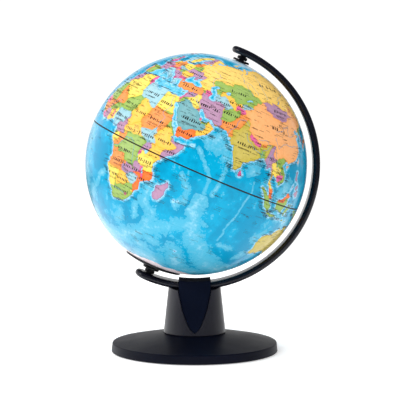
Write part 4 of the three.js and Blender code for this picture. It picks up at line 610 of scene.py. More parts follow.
def fill(grid, ring, value):
    """Writes value into every cell whose centre lies in the ring."""
    p = np.array(ring)
    lon, lat = p[:, 0], p[:, 1]
    lon2, lat2 = np.roll(lon, -1), np.roll(lat, -1)
    first = max(0, int((lat.min() + 90) / CELL) - 1)
    last = min(ROWS, int((lat.max() + 90) / CELL) + 2)
    for r in range(first, last):
        y = -90 + (r + 0.5) * CELL
        hit = (lat <= y) != (lat2 <= y)
        x = np.sort(lon[hit] + (y - lat[hit]) * (lon2[hit] - lon[hit]) / (lat2[hit] - lat[hit]))
        for a, b in zip(x[::2], x[1::2]):
            c = np.arange(math.ceil((a + 180) / CELL - 0.5), math.floor((b + 180) / CELL - 0.5) + 1)
            grid[r, c % COLS] = value


TINTS = {  # as printed, in screen colour
    "Y": (0.93, 0.82, 0.37), "K": (0.93, 0.74, 0.31), "O": (0.90, 0.56, 0.29), "R": (0.92, 0.45, 0.20),
    "S": (0.96, 0.68, 0.42), "C": (0.76, 0.69, 0.30), "G": (0.57, 0.69, 0.34), "P": (0.69, 0.53, 0.65),
    "M": (0.86, 0.40, 0.60), "B": (0.59, 0.76, 0.80), "T": (0.42, 0.64, 0.67), "W": (0.95, 0.89, 0.91),
    "U": (0.95, 0.79, 0.40),
}
coasts = outlines(COASTS)
lands = outlines(LANDS)
land = np.zeros((ROWS, COLS), bool)
owner = np.zeros((ROWS, COLS), np.int16)
owner_tint = [(1, 1, 1)]
for kind, ring in coasts:
    wild = natural(ring, 0.11)
    fill(land, wild, kind != "~")
    if kind != "~":
        owner_tint.append(TINTS[kind])
        fill(owner, wild, len(owner_tint) - 1)
for kind, ring in lands:
    owner_tint.append(TINTS[kind])
    fill(owner, natural(ring, 0.06), len(owner_tint) - 1)
owner_tint = ((np.array(owner_tint) + 0.055) / 1.055) ** 2.4


def unit(lon, lat):
    """Directions in the ball's own frame; the front longitude faces the viewer."""
    a, b = np.radians(np.asarray(lon, float) - FRONT_LON), np.radians(np.asarray(lat, float))
    return np.stack([np.sin(a) * np.cos(b), -np.cos(a) * np.cos(b), np.sin(b)], -1)


def place(direction):
    """(longitude, latitude) of directions."""
    lon = FRONT_LON + np.degrees(np.arctan2(direction[..., 0], -direction[..., 1]))
    return (lon + 180) % 360 - 180, np.degrees(np.arcsin(np.clip(direction[..., 2], -1, 1)))


def cells(lon, lat):
    r = np.clip(((lat + 90) / CELL).astype(int), 0, ROWS - 1)
    return r, ((lon + 180) / CELL).astype(int) % COLS


def steps(grid, both=None):
    """Directions of the cell sides where the grid changes; both limits it to cells where that grid is true on each side."""
    found = []
    for axis in (0, 1):
        near, far = (grid[:-1], grid[1:]) if axis == 0 else (grid, np.roll(grid, -1, 1))
        turn = near != far
        if both is not None:
            turn &= (both[:-1] & both[1:]) if axis == 0 else (both & np.roll(both, -1, 1))
        r, c = np.nonzero(turn)
        found.append(unit(-180 + (c + (1 if axis else 0.5)) * CELL, -90 + (r + (0.5 if axis else 1)) * CELL))
    return np.concatenate(found)


def tree_of(points):
    tree = kdtree.KDTree(len(points))
    for i, p in enumerate(points):
        tree.insert(p, i)
    tree.balance()
    return tree


def nearest(tree, points):
    """(index, distance in mm on the ball) of the nearest tree point for each of these."""
    hits = [tree.find(p) for p in points]
    return np.array([h[1] for h in hits]), np.array([h[2] for h in hits]) * BALL_R


def along(line, step=0.5):
    """A polyline of longitude and latitude at a steady step in degrees."""
    out = []
    for a, b in zip(line, line[1:]):
        n = max(1, int(math.hypot(b[0] - a[0], b[1] - a[1]) / step))
        out += [(a[0] + (b[0] - a[0]) * i / n, a[1] + (b[1] - a[1]) * i / n) for i in range(n)]
    return out + [line[-1]]


coast_tree = tree_of(steps(land))
border_tree = tree_of(steps(owner, land))
ridge_points, ridge_widths = [], []
for width, line in outlines(RIDGES, lambda *at: at):
    spots = along([p for a, b in zip(line, line[1:]) for p in broken(a, b, 0.05, 1.5)] + line[-1:])
    ridge_points.append(unit(*np.array(spots).T))
    ridge_widths += [float(width)] * len(spots)
ridge_tree = tree_of(np.concatenate(ridge_points))
ridge_widths = np.array(ridge_widths)


# ---------------------------------------------------------------- the two printed half-skins
def half_grid(side, n=180):
    """Directions and quads of an even half-sphere mesh: one whole cube face and four half faces."""
    a = np.tan(np.linspace(-1, 1, n + 1) * math.pi / 4)
    b = np.tan(np.linspace(0, 1, n // 2 + 1) * math.pi / 4)
    seam = SEAM_Z / SKIN_R
    ga, gb = np.meshgrid(a, a, indexing="ij")
    sheets = [np.stack([ga, gb, np.ones_like(ga)], -1)]
    sa, sb = np.meshgrid(a, b, indexing="ij")
    sb[:, 0] = seam * np.sqrt(1 + sa[:, 0] ** 2) / math.sqrt(1 - seam ** 2)
    for turn in range(4):
        c, s = (1, 0, -1, 0)[turn], (0, 1, 0, -1)[turn]
        sheets.append(np.stack([c - s * sa, s + c * sa, sb], -1))
    points, quads, start = [], [], 0
    for i, sheet in enumerate(sheets):
        h, w = sheet.shape[:2]
        k = np.arange(h * w).reshape(h, w) + start
        quads.append(np.stack([k[:-1, :-1], k[1:, :-1], k[1:, 1:], k[:-1, 1:]], -1).reshape(-1, 4))
        points.append(sheet.reshape(-1, 3))
        start += h * w
    points = np.concatenate(points)
    quads = np.concatenate(quads)
    points /= np.linalg.norm(points, axis=1)[:, None]
    _, keep, back = np.unique(np.round(points, 6), axis=0, return_index=True, return_inverse=True)
    points, quads = points[keep], back.ravel()[quads]
    if side < 0:
        points[:, 2] *= -1
        quads = quads[:, ::-1]
    centre = points[quads].mean(1)
    quads = quads[np.hypot(centre[:, 0], centre[:, 1]) * SKIN_R > POLE_HOLE_R]
    return points, quads


def mesh_of(name, points, faces, smooth=True):
    mesh = bpy.data.meshes.new(name)
    mesh.vertices.add(len(points))
    mesh.vertices.foreach_set("co", np.asarray(points, np.float32).ravel())
    sizes = np.array([len(f) for f in faces])
    mesh.loops.add(int(sizes.sum()))
    mesh.loops.foreach_set("vertex_index", np.concatenate([np.asarray(f) for f in faces]).astype(np.int32))
    mesh.polygons.add(len(faces))
    mesh.polygons.foreach_set("loop_start", np.concatenate([[0], sizes.cumsum()[:-1]]).astype(np.int32))
    mesh.polygons.foreach_set("use_smooth", np.full(len(faces), smooth))
    mesh.update(calc_edges=True)
    mesh.validate()
    obj = bpy.data.objects.new(name, mesh)
    bpy.context.scene.collection.objects.link(obj)
    return obj


def attribute(obj, name, kind, values):
    layer = obj.data.attributes.new(name, kind, "POINT")
    key = {"FLOAT_COLOR": "color", "FLOAT_VECTOR": "vector", "FLOAT": "value"}[kind]
    layer.data.foreach_set(key, np.asarray(values, np.float32).ravel())


def tilted(points):
    """Points of the ball's own frame, placed in the model's frame."""
    turn = np.array(BALL_FRAME)
    return points @ turn[:3, :3].T + turn[:3, 3]


def on_ball(name, points, faces, smooth=True):
    """A mesh from points in mm in the ball's own frame, which it also keeps as the attribute geo."""
    points = np.asarray(points) * MM
    obj = mesh_of(name, tilted(points), faces, smooth)
    attribute(obj, "geo", "FLOAT_VECTOR", points)
    return obj


def skin(name, side, node):
    """One printed half of the ball, with the map held as distances to coast, border and sea ridge at each point."""
    d, quads = half_grid(side)
    lon, lat = place(d)
    r, c = cells(lon, lat)
    on_land, who = land[r, c], owner[r, c]
    coast = nearest(coast_tree, d)[1] * np.where(on_land, 1, -1)
    border = nearest(border_tree, d)[1]
    at, ridge = nearest(ridge_tree, d)
    tint = owner_tint[who]
    good = on_land & (who > 0)
    spare = np.nonzero(~good & (coast > -4))[0]
    donors = np.nonzero(good)[0]
    tint[spare] = tint[donors[nearest(tree_of(d[donors]), d[spare])[0]]]
    edge = np.nonzero(np.isclose(np.abs(d[:, 2]) * SKIN_R, SEAM_Z, atol=1e-3))[0]
    edge = edge[np.argsort(np.arctan2(d[edge, 1], d[edge, 0]))]
    lip = np.stack([d[edge, 0] * (SKIN_R - 2), d[edge, 1] * (SKIN_R - 2), d[edge, 2] * SKIN_R], -1)
    new = np.arange(len(edge)) + len(d)
    strip = np.stack([edge, np.roll(edge, -1), np.roll(new, -1), new], -1)
    strip = strip if side < 0 else strip[:, ::-1]
    obj = on_ball(name, np.concatenate([d * SKIN_R, lip]), np.concatenate([quads, strip]))
    grow = lambda v: np.concatenate([v, v[edge]])
    attribute(obj, "tint", "FLOAT_COLOR", grow(np.concatenate([tint, np.ones((len(tint), 1))], 1)))
    attribute(obj, "coast", "FLOAT", grow(coast))
    attribute(obj, "border", "FLOAT", grow(border))
    attribute(obj, "ridge", "FLOAT", grow(ridge / ridge_widths[at]))
    settle(obj, "ball", "map_print", node)
    return obj


def settle(obj, body, slot, *nodes):
    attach(obj, body)
    if nodes:
        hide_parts(*nodes)


# ---------------------------------------------------------------- shader helpers
def material(name):
    mat = bpy.data.materials.new(name)
    mat.use_nodes = True
    mat.node_tree.nodes.clear()
    return mat, mat.node_tree


def node(tree, kind, ins=None, **props):
    n = tree.nodes.new("ShaderNode" + kind)
    for key, value in props.items():
        setattr(n, key, value)
    for key, value in (ins or {}).items():
        if isinstance(value, bpy.types.NodeSocket):
            tree.links.new(value, n.inputs[key])
        else:
            n.inputs[key].default_value = value
    return n


def calc(tree, op, a, b=0.0):
    return node(tree, "Math", {0: a, 1: b}, operation=op).outputs[0]


def add(tree, a, b):
    return calc(tree, "ADD", a, b)


def times(tree, a, b):
    return calc(tree, "MULTIPLY", a, b)


def off_middle(tree, value):
    """A value from 0 to 1, shifted to lie evenly about 0."""
    return calc(tree, "SUBTRACT", value, 0.5)


def ramp(tree, value, low, high, out_low=0.0, out_high=1.0):
    ins = {0: value, 1: low, 2: high, 3: out_low, 4: out_high}
    return node(tree, "MapRange", ins, interpolation_type="SMOOTHSTEP").outputs[0]


def blend(tree, factor, a, b, how="MIX"):
    a, b = ((*c, 1) if isinstance(c, tuple) else c for c in (a, b))
    n = node(tree, "Mix", {0: factor, 6: a, 7: b}, data_type="RGBA", blend_type=how, clamp_factor=True)
    return n.outputs[2]


def grain(tree, coords, size, detail=2.0, rough=0.5):
    """Noise from 0 to 1 with features of this size in mm."""
    ins = {"Vector": coords, "Scale": 1 / (size * MM), "Detail": detail, "Roughness": rough}
    return node(tree, "TexNoise", ins).outputs[0]


def close(tree, shader):
    out = node(tree, "OutputMaterial")
    tree.links.new(shader, out.inputs[0])


def linear(c):
    """Screen colour to linear light."""
    return tuple(((v + 0.055) / 1.055) ** 2.4 if v > 0.04045 else v / 12.92 for v in c)


# ---------------------------------------------------------------- the printed map
SEA = {"deep": (0.0, 0.56, 0.72), "floor": (0.0, 0.63, 0.79), "ridge": (0.34, 0.71, 0.82), "crest": (0.54, 0.79, 0.87),
       "foam": (0.72, 0.88, 0.94), "shelf": (0.60, 0.81, 0.92), "ice": (0.80, 0.90, 0.96), "shade": (0.0, 0.45, 0.68)}
GRATICULE = 15  # degrees between the printed lines


def map_material():
    mat, t = material("map_print_varnished")
    read = lambda name: node(t, "Attribute", attribute_name=name, attribute_type="GEOMETRY")
    coords = read("geo").outputs["Vector"]
    coast, border, ridge = (read(n).outputs["Fac"] for n in ("coast", "border", "ridge"))
    tint = read("tint").outputs["Color"]
    x, y, z = node(t, "SeparateXYZ", {0: coords}).outputs
    wide, relief, fine = grain(t, coords, 24, 4, 0.55), grain(t, coords, 6, 8, 0.62), grain(t, coords, 0.5, 2)
    ragged, swell = off_middle(t, relief), off_middle(t, wide)

    # the sea floor in printed steps of blue with ragged edges
    tatter = off_middle(t, grain(t, coords, 2.6, 8, 0.75))
    brush = grain(t, coords, 2.2, 8, 0.66)
    torn = add(t, ragged, tatter)
    ridge_at = add(t, ridge, add(t, times(t, torn, 2.4), times(t, swell, 2.0)))
    off_shore = add(t, times(t, coast, -1.0), times(t, torn, 4.5))
    more_in_south = ramp(t, z, -0.085, -0.045, 0.14, 0.0)
    mounts = add(t, add(t, relief, times(t, add(t, swell, tatter), 0.5)), more_in_south)
    sea = blend(t, ramp(t, add(t, wide, times(t, ragged, 0.3)), 0.40, 0.62), linear(SEA["deep"]), linear(SEA["floor"]))
    for value, low, high, at_low, at_high, tone in (
            (mounts, 0.66, 0.68, 0.0, 0.7, "ridge"),
            (ridge_at, 0.92, 1.0, 0.72, 0.0, "ridge"),
            (add(t, ridge_at, times(t, brush, 1.6)), 0.55, 1.35, 0.5, 0.0, "crest"),
            (add(t, ridge_at, times(t, brush, 3.0)), 0.9, 1.3, 0.28, 0.0, "foam"),
            (off_shore, 2.0, 2.3, 0.85, 0.0, "ridge"),
            (off_shore, 0.95, 1.2, 0.9, 0.0, "shelf"),
            (z, 0.096, 0.0985, 0.0, 0.8, "ice"),
            (grain(t, coords, 1.6, 4, 0.6), 0.35, 0.75, 0.0, 0.12, "shade")):
        sea = blend(t, ramp(t, value, low, high, at_low, at_high), sea, linear(SEA[tone]))

    # faint graticule
    def from_line(angle, shift):
        """Distance to the nearest printed line, as a part of the space between two."""
        return calc(t, "ABSOLUTE", off_middle(t, calc(t, "FRACT", add(t, angle, shift + 20.5))))

    lines_per_radian = 180 / math.pi / GRATICULE
    lon = times(t, calc(t, "ARCTAN2", x, times(t, y, -1.0)), lines_per_radian)
    lat = times(t, calc(t, "ARCSINE", calc(t, "DIVIDE", z, SKIN_R * MM)), lines_per_radian)
    across = calc(t, "SQRT", add(t, times(t, x, x), times(t, y, y)))
    from_lon = times(t, from_line(lon, (FRONT_LON / GRATICULE) % 1), calc(t, "DIVIDE", across, BALL_R * MM))
    line = calc(t, "MINIMUM", from_lon, from_line(lat, 0))
    sea = blend(t, ramp(t, line, 0.004, 0.009, 0.22, 0.0), sea, linear((0.05, 0.38, 0.58)))

    # land: each country full of colour at its edge and paler inside
    rich = blend(t, 0.55, tint, blend(t, 1.0, tint, tint, "MULTIPLY"))
    pale = blend(t, 0.05, tint, (1.0, 0.96, 0.86))
    to_edge = calc(t, "MINIMUM", border, coast)
    inside = add(t, to_edge, times(t, ragged, 2.0))
    ground = blend(t, ramp(t, inside, 0.6, 4.5), tint, pale)
    ground = blend(t, ramp(t, grain(t, coords, 2.4, 6, 0.6), 0.42, 0.70, 0.0, 0.35), ground, rich)
    ground = blend(t, ramp(t, to_edge, 0.15, 0.60, 0.9, 0.0), ground, rich)
    ground = blend(t, ramp(t, line, 0.004, 0.008, 0.14, 0.0), ground, linear((0.35, 0.25, 0.15)))
    colour = blend(t, ramp(t, coast, -0.06, 0.06), sea, ground)
    to_shore = calc(t, "ABSOLUTE", add(t, coast, 0.08))
    colour = blend(t, ramp(t, to_shore, 0.04, 0.22, 0.55, 0.0), colour, linear((0.16, 0.42, 0.55)))
    colour = blend(t, ramp(t, fine, 0.4, 0.8, 0.0, 0.05), colour, (0.02, 0.02, 0.02))
    bump = node(t, "Bump", {"Strength": 0.10, "Distance": 0.02 * MM, "Height": fine}).outputs[0]
    shader = node(t, "BsdfPrincipled", {
        "Base Color": colour, "Roughness": ramp(t, wide, 0.3, 0.7, 0.42, 0.50), "Normal": bump,
        "Specular IOR Level": 0.05, "Coat Weight": 1.0, "Coat Roughness": 0.18, "Coat IOR": 1.22})
    close(t, shader.outputs[0])
    return mat


def plastic(name, dark, light, rough, specular, speck=0.35):
    """Moulded plastic: slow colour drift, fine spark-eroded grain, rubbed and dusty patches in the roughness."""
    mat, t = material(name)
    coords = node(t, "TexCoord").outputs["Object"]
    drift, mould, dust = grain(t, coords, 30, 3), grain(t, coords, speck, 2), grain(t, coords, 2.2, 6, 0.65)
    colour = blend(t, ramp(t, drift, 0.3, 0.7), linear(dark), linear(light))
    colour = blend(t, ramp(t, dust, 0.56, 0.80, 0.0, 0.06), colour, linear((0.30, 0.30, 0.33)))
    rubbed = add(t, ramp(t, drift, 0.25, 0.75, rough - 0.04, rough + 0.05), ramp(t, dust, 0.5, 0.8, 0.0, 0.06))
    soft_edge = node(t, "Bevel", {"Radius": 0.45 * MM}, samples=6).outputs[0]
    bump = node(t, "Bump", {"Strength": 0.16, "Distance": 0.03 * MM, "Height": mould, "Normal": soft_edge}).outputs[0]
    shader = node(t, "BsdfPrincipled", {"Base Color": colour, "Roughness": rubbed, "Normal": bump,
                                        "Specular IOR Level": specular})
    close(t, shader.outputs[0])
    return mat


def steel(name, shade, rough, size):
    mat, t = material(name)
    coords = node(t, "TexCoord").outputs["Object"]
    streak, spots = grain(t, coords, size, 4), grain(t, coords, size * 6, 5)
    colour = blend(t, ramp(t, spots, 0.3, 0.7), linear(tuple(v * 0.85 for v in shade)), linear(shade))
    bump = node(t, "Bump", {"Strength": 0.3, "Distance": 0.05 * MM, "Height": streak}).outputs[0]
    worn = ramp(t, streak, 0.2, 0.8, rough - 0.08, rough + 0.1)
    shader = node(t, "BsdfPrincipled", {"Base Color": colour, "Metallic": 1.0, "Roughness": worn, "Normal": bump})
    close(t, shader.outputs[0])
    return mat


def ink_material(name, dark, light):
    mat, t = material(name)
    coords = node(t, "Attribute", attribute_name="geo", attribute_type="GEOMETRY").outputs["Vector"]
    drift = grain(t, coords, 0.8, 3)
    colour = blend(t, ramp(t, drift, 0.3, 0.7), linear(dark), linear(light))
    shader = node(t, "BsdfPrincipled", {"Base Color": colour, "Roughness": ramp(t, drift, 0.3, 0.7, 0.4, 0.5),
                                        "Specular IOR Level": 0.3})
    close(t, shader.outputs[0])
    return mat


# ---------------------------------------------------------------- printed marks: ticks, dots and rivers, no letters
PLAIN = 0.62  # how bold a common tick is
class Ink:
    """Thin flat marks that lie on the printed ball."""

    def __init__(self):
        self.points, self.faces = [], []

    def patch(self, lon, lat, corners):
        """A flat polygon: corners in mm to the east and north of a place."""
        d = unit(lon, lat)
        east = np.array([-d[1], d[0], 0.0])
        east /= np.linalg.norm(east)
        north = np.cross(d, east)
        start = len(self.points)
        for e, n in corners:
            p = d * INK_R + east * e + north * n
            self.points.append(p / np.linalg.norm(p) * INK_R)
        self.faces.append(list(range(start, start + len(corners))))

    def bar(self, lon, lat, e, n, wide, high):
        self.patch(lon, lat, [(e, n), (e + wide, n), (e + wide, n + high), (e, n + high)])

    def dot(self, lon, lat, e, n, r):
        self.patch(lon, lat, [(e + r * math.cos(k * math.pi / 4), n + r * math.sin(k * math.pi / 4)) for k in range(8)])

    def row(self, rng, lon, lat, length, high, gap, bold=PLAIN):
        """A row of separate upright ticks and dots, with no letter in it, as long as a name would be."""
        e = -length / 2
        while e < length / 2:
            wide = high * rng.uniform(0.20, 0.34) * bold / PLAIN
            if rng.random() < 0.25:
                self.dot(lon, lat, e + wide / 2, rng.uniform(-0.25, 0.25) * high, high * 0.17)
            else:
                tall = high * rng.choice((1.0, 0.85, 0.7))
                self.bar(lon, lat, e, -tall / 2, wide, tall)
            e += wide + high * rng.uniform(0.28, gap + 0.12)

    def path(self, line, width):
        d = unit(*np.array(line).T)
        for a, b in zip(d, d[1:]):
            side = np.cross(a, b - a)
            side *= width / 2 / max(np.linalg.norm(side), 1e-9)
            start = len(self.points)
            for p, s in ((a, -1), (b, -1), (b, 1), (a, 1)):
                q = p * INK_R + side * s
                self.points.append(q / np.linalg.norm(q) * INK_R)
            self.faces.append([start, start + 1, start + 2, start + 3])

    def done(self, name, mat):
        pts = np.array(self.points)
        ok = []
        for f in self.faces:
            p = pts[f]
            n = np.cross(p[1] - p[0], p[2] - p[0])
            if abs(p[:, 2]).min() > SEAM_Z + 0.3 and np.hypot(p[:, 0], p[:, 1]).min() > POLE_HOLE_R + 4:
                ok.append(f if n @ p[0] > 0 else f[::-1])
        obj = on_ball(name, pts, ok, smooth=False)
        obj.data.materials.append(mat)
        settle(obj, "ball", "map_print")
        return obj


def degrees_east(mm, lat):
    """A distance to the east on the ball, as degrees of longitude."""
    return math.degrees(mm / BALL_R / max(0.2, math.cos(math.radians(lat))))


def is_land(lon, lat):
    r, c = cells(np.array([lon]), np.array([lat]))
    return bool(land[r, c][0])


SMALLEST_NAMED = 90  # grid cells
BIG_COUNTRY = 700  # square degrees


def name_rows(ink, rng):
    """One row of ticks in the middle of each country, as wide as its room."""
    for i, (kind, ring) in enumerate(lands):
        me = len(owner_tint) - len(lands) + i
        r, c = np.nonzero((owner == me) & land)
        if len(r) < SMALLEST_NAMED:
            continue
        weights = np.cos(np.radians(-90 + r * CELL))
        area = weights.sum() * CELL * CELL
        best, spot = 0, None
        for row_at in np.unique(r)[:: max(1, len(np.unique(r)) // 24)]:
            run = np.sort(c[r == row_at])
            parts = np.split(run, np.nonzero(np.diff(run) > 1)[0] + 1)
            longest = max(parts, key=len)
            lat = -90 + row_at * CELL
            room = len(longest) * CELL * math.cos(math.radians(lat)) * MM_PER_DEGREE
            off_centre = abs(row_at - np.median(r)) * CELL * MM_PER_DEGREE
            score = room - 1.1 * off_centre
            if score > best:
                best, spot = score, (-180 + longest.mean() * CELL, lat, room)
        if spot is None:
            continue
        lon, lat, room = spot
        high = min(2.7, max(1.3, 0.62 * math.sqrt(area) ** 0.75))
        length = min(room * 0.84, high * rng.uniform(4.5, 7.0))
        if length > 1.2 * high:
            if area > BIG_COUNTRY:
                ink.row(rng, lon, lat, length * 1.4, high * 1.3, 1.5, 0.95)
                continue
            ink.row(rng, lon, lat, length, high, 0.36, 0.78)
            if room > 9 and rng.random() < 0.6:
                ink.row(rng, lon, lat - 1.45 * high / MM_PER_DEGREE, length * 0.8, high * 0.6, 0.32, 0.7)


def town_marks(ink, rng, count):
    """Dots with a short thin row beside them, spread over the land."""
    made = 0
    while made < count:
        z = rng.uniform(-0.6, 0.94)
        lat, lon = math.degrees(math.asin(z)), rng.uniform(-180, 180)
        if not is_land(lon, lat):
            continue
        made += 1
        ink.dot(lon, lat, 0, 0, rng.choice((0.22, 0.28, 0.38)))
        high = rng.choice((0.8, 0.9, 1.05))
        length = high * rng.uniform(3, 6)
        step = degrees_east(length / 2 + 0.7, lat) * rng.choice((-1, 1))
        ink.row(rng, lon + step, lat + 0.2, length, high, 0.3)


def coast_marks(ink, rng, count):
    """Thin rows that stand out from the coasts over the sea."""
    spots = np.concatenate([np.array(natural(ring, 0.11)) for kind, ring in coasts if kind != "~" and len(ring) > 8])
    made = 0
    while made < count:
        lon, lat = spots[rng.randrange(len(spots))]
        out = rng.choice((-1, 1))
        high = rng.choice((0.85, 0.95, 1.1))
        length = high * rng.uniform(4, 8)
        step = degrees_east(length / 2 + 0.8, lat) * out
        if abs(lat) < 72 and not is_land(lon + step, lat) and not is_land(lon + 1.7 * step, lat):
            made += 1
            if rng.random() < 0.3:
                ink.row(rng, lon + step, lat - 0.8, length * 0.7, high, 0.3)
            ink.row(rng, lon + step, lat, length, high, 0.3)


def sea_marks(ink, rng, count):
    """Loose clusters of one to three small rows on the open sea, some with a dot."""
    made = 0
    while made < count:
        z, lon = rng.uniform(-0.88, 0.8), rng.uniform(-180, 180)
        lat = math.degrees(math.asin(z))
        if any(is_land(lon + k, lat + j) for k in (-5, 0, 5) for j in (-2, 2)):
            continue
        made += 1
        high = rng.choice((0.75, 0.9))
        for k in range(rng.choice((1, 1, 2, 3))):
            ink.row(rng, lon + rng.uniform(-0.5, 0.5), lat - k * high, high * rng.uniform(4, 8), high, 0.35)
        if rng.random() < 0.5:
            ink.dot(lon, lat, rng.uniform(-4, 4), 1.5, 0.35)


def isle_marks(ink, rng):
    """Small islands as a few dots, with short rows around them."""
    for lon, lat in outlines(ISLES)[0][1]:
        for _ in range(rng.choice((2, 3, 4))):
            ink.dot(lon, lat, rng.uniform(-1.1, 1.1), rng.uniform(-0.9, 0.9), rng.uniform(0.18, 0.34))
        for _ in range(rng.choice((1, 2, 2))):
            high = rng.choice((0.85, 1.0, 1.1))
            length = high * rng.uniform(4, 8)
            step = math.degrees((length / 2 + 1.4) / BALL_R) * rng.choice((-1, 1))
            ink.row(rng, lon + step, lat + rng.uniform(-1.2, 1.2), length, high, 0.3)


# ---------------------------------------------------------------- build the ball
map_mat = map_material()
for skin_name, side, cad in (("map_skin_north", 1, "north_hemisphere"), ("map_skin_south", -1, "south_hemisphere")):
    skin(skin_name, side, cad).data.materials.append(map_mat)
rng = random.Random(31)
names = Ink()
name_rows(names, rng)
town_marks(names, rng, 950)
coast_marks(names, rng, 950)
sea_marks(names, rng, 120)
isle_marks(names, rng)
names.done("map_marks", ink_material("name_ink", (0.03, 0.02, 0.03), (0.11, 0.08, 0.08)))
rivers = Ink()
for _, line in outlines(RIVERS):
    course = [p for a, b in zip(line, line[1:]) for p in broken(a, b, 0.10, 0.6)] + line[-1:]
    rivers.path([p for p in course if is_land(*p)], 0.32)
rivers.done("map_rivers", ink_material("river_ink", (0.14, 0.50, 0.68), (0.26, 0.60, 0.76)))

# ---------------------------------------------------------------- materials of the stand and the poles
navy = plastic("stand_navy_plastic", (0.030, 0.038, 0.080), (0.042, 0.050, 0.098), 0.42, 0.08)
arm_navy = plastic("arm_navy_plastic", (0.035, 0.042, 0.080), (0.048, 0.055, 0.100), 0.24, 0.32)
# The same navy plastic as the base, with colours raised about twofold: a painted sheen on the column.
column_painted_sheen_navy = plastic("column_navy_plastic", (0.062, 0.064, 0.104), (0.074, 0.075, 0.117), 0.33, 0.34)
clip_black = plastic("clip_navy_plastic", (0.040, 0.056, 0.105), (0.054, 0.072, 0.125), 0.75, 0.01)
pole_black = plastic("pole_black_plastic", (0.030, 0.033, 0.052), (0.042, 0.046, 0.066), 0.32, 0.25)
rib_brown = plastic("rib_brown_plastic", (0.12, 0.08, 0.06), (0.18, 0.12, 0.09), 0.45, 0.3)
screw_steel = steel("screw_steel", (0.72, 0.72, 0.74), 0.32, 0.4)
iron = steel("ballast_iron", (0.30, 0.29, 0.28), 0.60, 1.2)
foam = plastic("pad_foam", (0.09, 0.09, 0.095), (0.12, 0.12, 0.125), 0.85, 0.2, 0.8)
FINISH = {"stand_plastic": navy, "clip_plastic": clip_black, "pole_plastic": pole_black, "rib_plastic": rib_brown,
          "steel": screw_steel, "ballast_steel": iron, "pad_foam": foam}

# ---------------------------------------------------------------- smooth moulded pieces of the stand and the poles
# Sizes in mm, as in the CAD source; heights of turned pieces run along their own axis.
GAP = 0.3
HUB_Z = 171.2
ARM_IN, ARM_T, ARM_DEPTH, ARM_END, ARM_SHIFT = 107.0, 6.2, 24.0, math.radians(89.1), 0.85
COLLAR_FLANGE_R, COLLAR_FLANGE_T, COLLAR_SLEEVE_R, COLLAR_BORE_R, COLLAR_END = 7.7, 1.9, 4.9, 2.6, 92.6
POST_R, POST_BEAD_R, POST_TOP = 4.4, 4.9, 106.4
POST_PEG_R, POST_PEG_TOP, POST_PIN_R, POST_PIN_END = 2.8, 110.6, 2.5, 93.4
RING_IN, RING_OUT, RING_HALF, RIB_HALF, RIB_OUT = 95.3, 97.3, 5.0, 0.4, 100.1
CAP_IN, CAP_OUT, CAP_HOLE_R, CAP_BEVEL = 100.3, 101.7, 5.3, 0.007
CAP_TURN = math.radians(74.6)  # where the cap's rim lies, up from the ball's equator
BASE_R, BASE_RIM_R, BASE_RIM_Z, BASE_EDGE, BASE_WALL, BASE_FOOT_Z = 75.6, 74.9, 8.75, 1.1, 2.4, 0.6
PLATE_R, PLATE_Z, DOME_BULGE_Z = 28.4, 17.3, 13.6
SPIGOT_R, SPIGOT_T, SPIGOT_H = 20.8, 1.6, 2.7

POLAR = Vector((math.sin(TILT), 0, math.cos(TILT)))
MID_ARC = Vector((math.cos(TILT), 0, -math.sin(TILT)))
ARM_CENTRE = Vector((0, 0, HUB_Z)) - POLAR * ARM_SHIFT


def arc(radius, start, end, steps, cx=0.0, cz=0.0):
    angles = [start + (end - start) * i / steps for i in range(steps + 1)]
    return [(cx + radius * math.cos(a), cz + radius * math.sin(a)) for a in angles]


def softened(profile, radius):
    """The closed profile with its sharp corners rounded; corners on the axis stay."""
    out = []
    for a, p, b in zip(profile[-1:] + profile[:-1], profile, profile[1:] + profile[:1]):
        u, v, p2 = Vector(a) - Vector(p), Vector(b) - Vector(p), Vector(p)
        if p[0] < 1e-6 or u.length < 1e-6 or v.length < 1e-6 or u.angle(v) > math.radians(155):
            out.append(tuple(p))
            continue
        d = min(radius, 0.45 * u.length, 0.45 * v.length)
        s, e = p2 + u.normalized() * d, p2 + v.normalized() * d
        for k in range(5):
            w = k / 4
            out.append(tuple(s * (1 - w) ** 2 + p2 * 2 * w * (1 - w) + e * w ** 2))
    return out


def turned(name, profile, body, slot, mat, cad, on_axis=False, side=1, radius=0.25, segments=160):
    """A closed profile of (radius, height) in mm turned about Z, or about the ball's own axis."""
    profile = softened([tuple(p) for p in profile], radius)
    points, rings = [], []
    for r, z in profile:
        n = 1 if r < 1e-6 else segments
        rings.append([len(points) + k for k in range(n)])
        points += [(r * math.cos(k * 2 * math.pi / n), r * math.sin(k * 2 * math.pi / n), z * side) for k in range(n)]
    faces = []
    for lower, upper in zip(rings, rings[1:] + rings[:1]):
        for k in range(segments):
            quad = [lower[k % len(lower)], lower[(k + 1) % len(lower)], upper[(k + 1) % len(upper)], upper[k % len(upper)]]
            quad = list(dict.fromkeys(quad))
            if len(quad) > 2:
                faces.append(quad[::-1] if side < 0 else quad)
    points = np.array(points) * MM
    if on_axis:
        points = tilted(points)
    return finished(mesh_of(name, points, faces), body, slot, mat, cad)


def finished(obj, body, slot, mat, cad, crease=42):
    """Outward faces, smooth shading with sharp edges kept, finish, and the CAD node it stands for."""
    form = bmesh.new()
    form.from_mesh(obj.data)
    bmesh.ops.recalc_face_normals(form, faces=form.faces)
    form.to_mesh(obj.data)
    form.free()
    obj.data.shade_smooth()
    obj.data.set_sharp_from_angle(angle=math.radians(crease))
    obj.data.materials.clear()
    obj.data.materials.append(mat)
    settle(obj, body, slot, cad)
    return obj


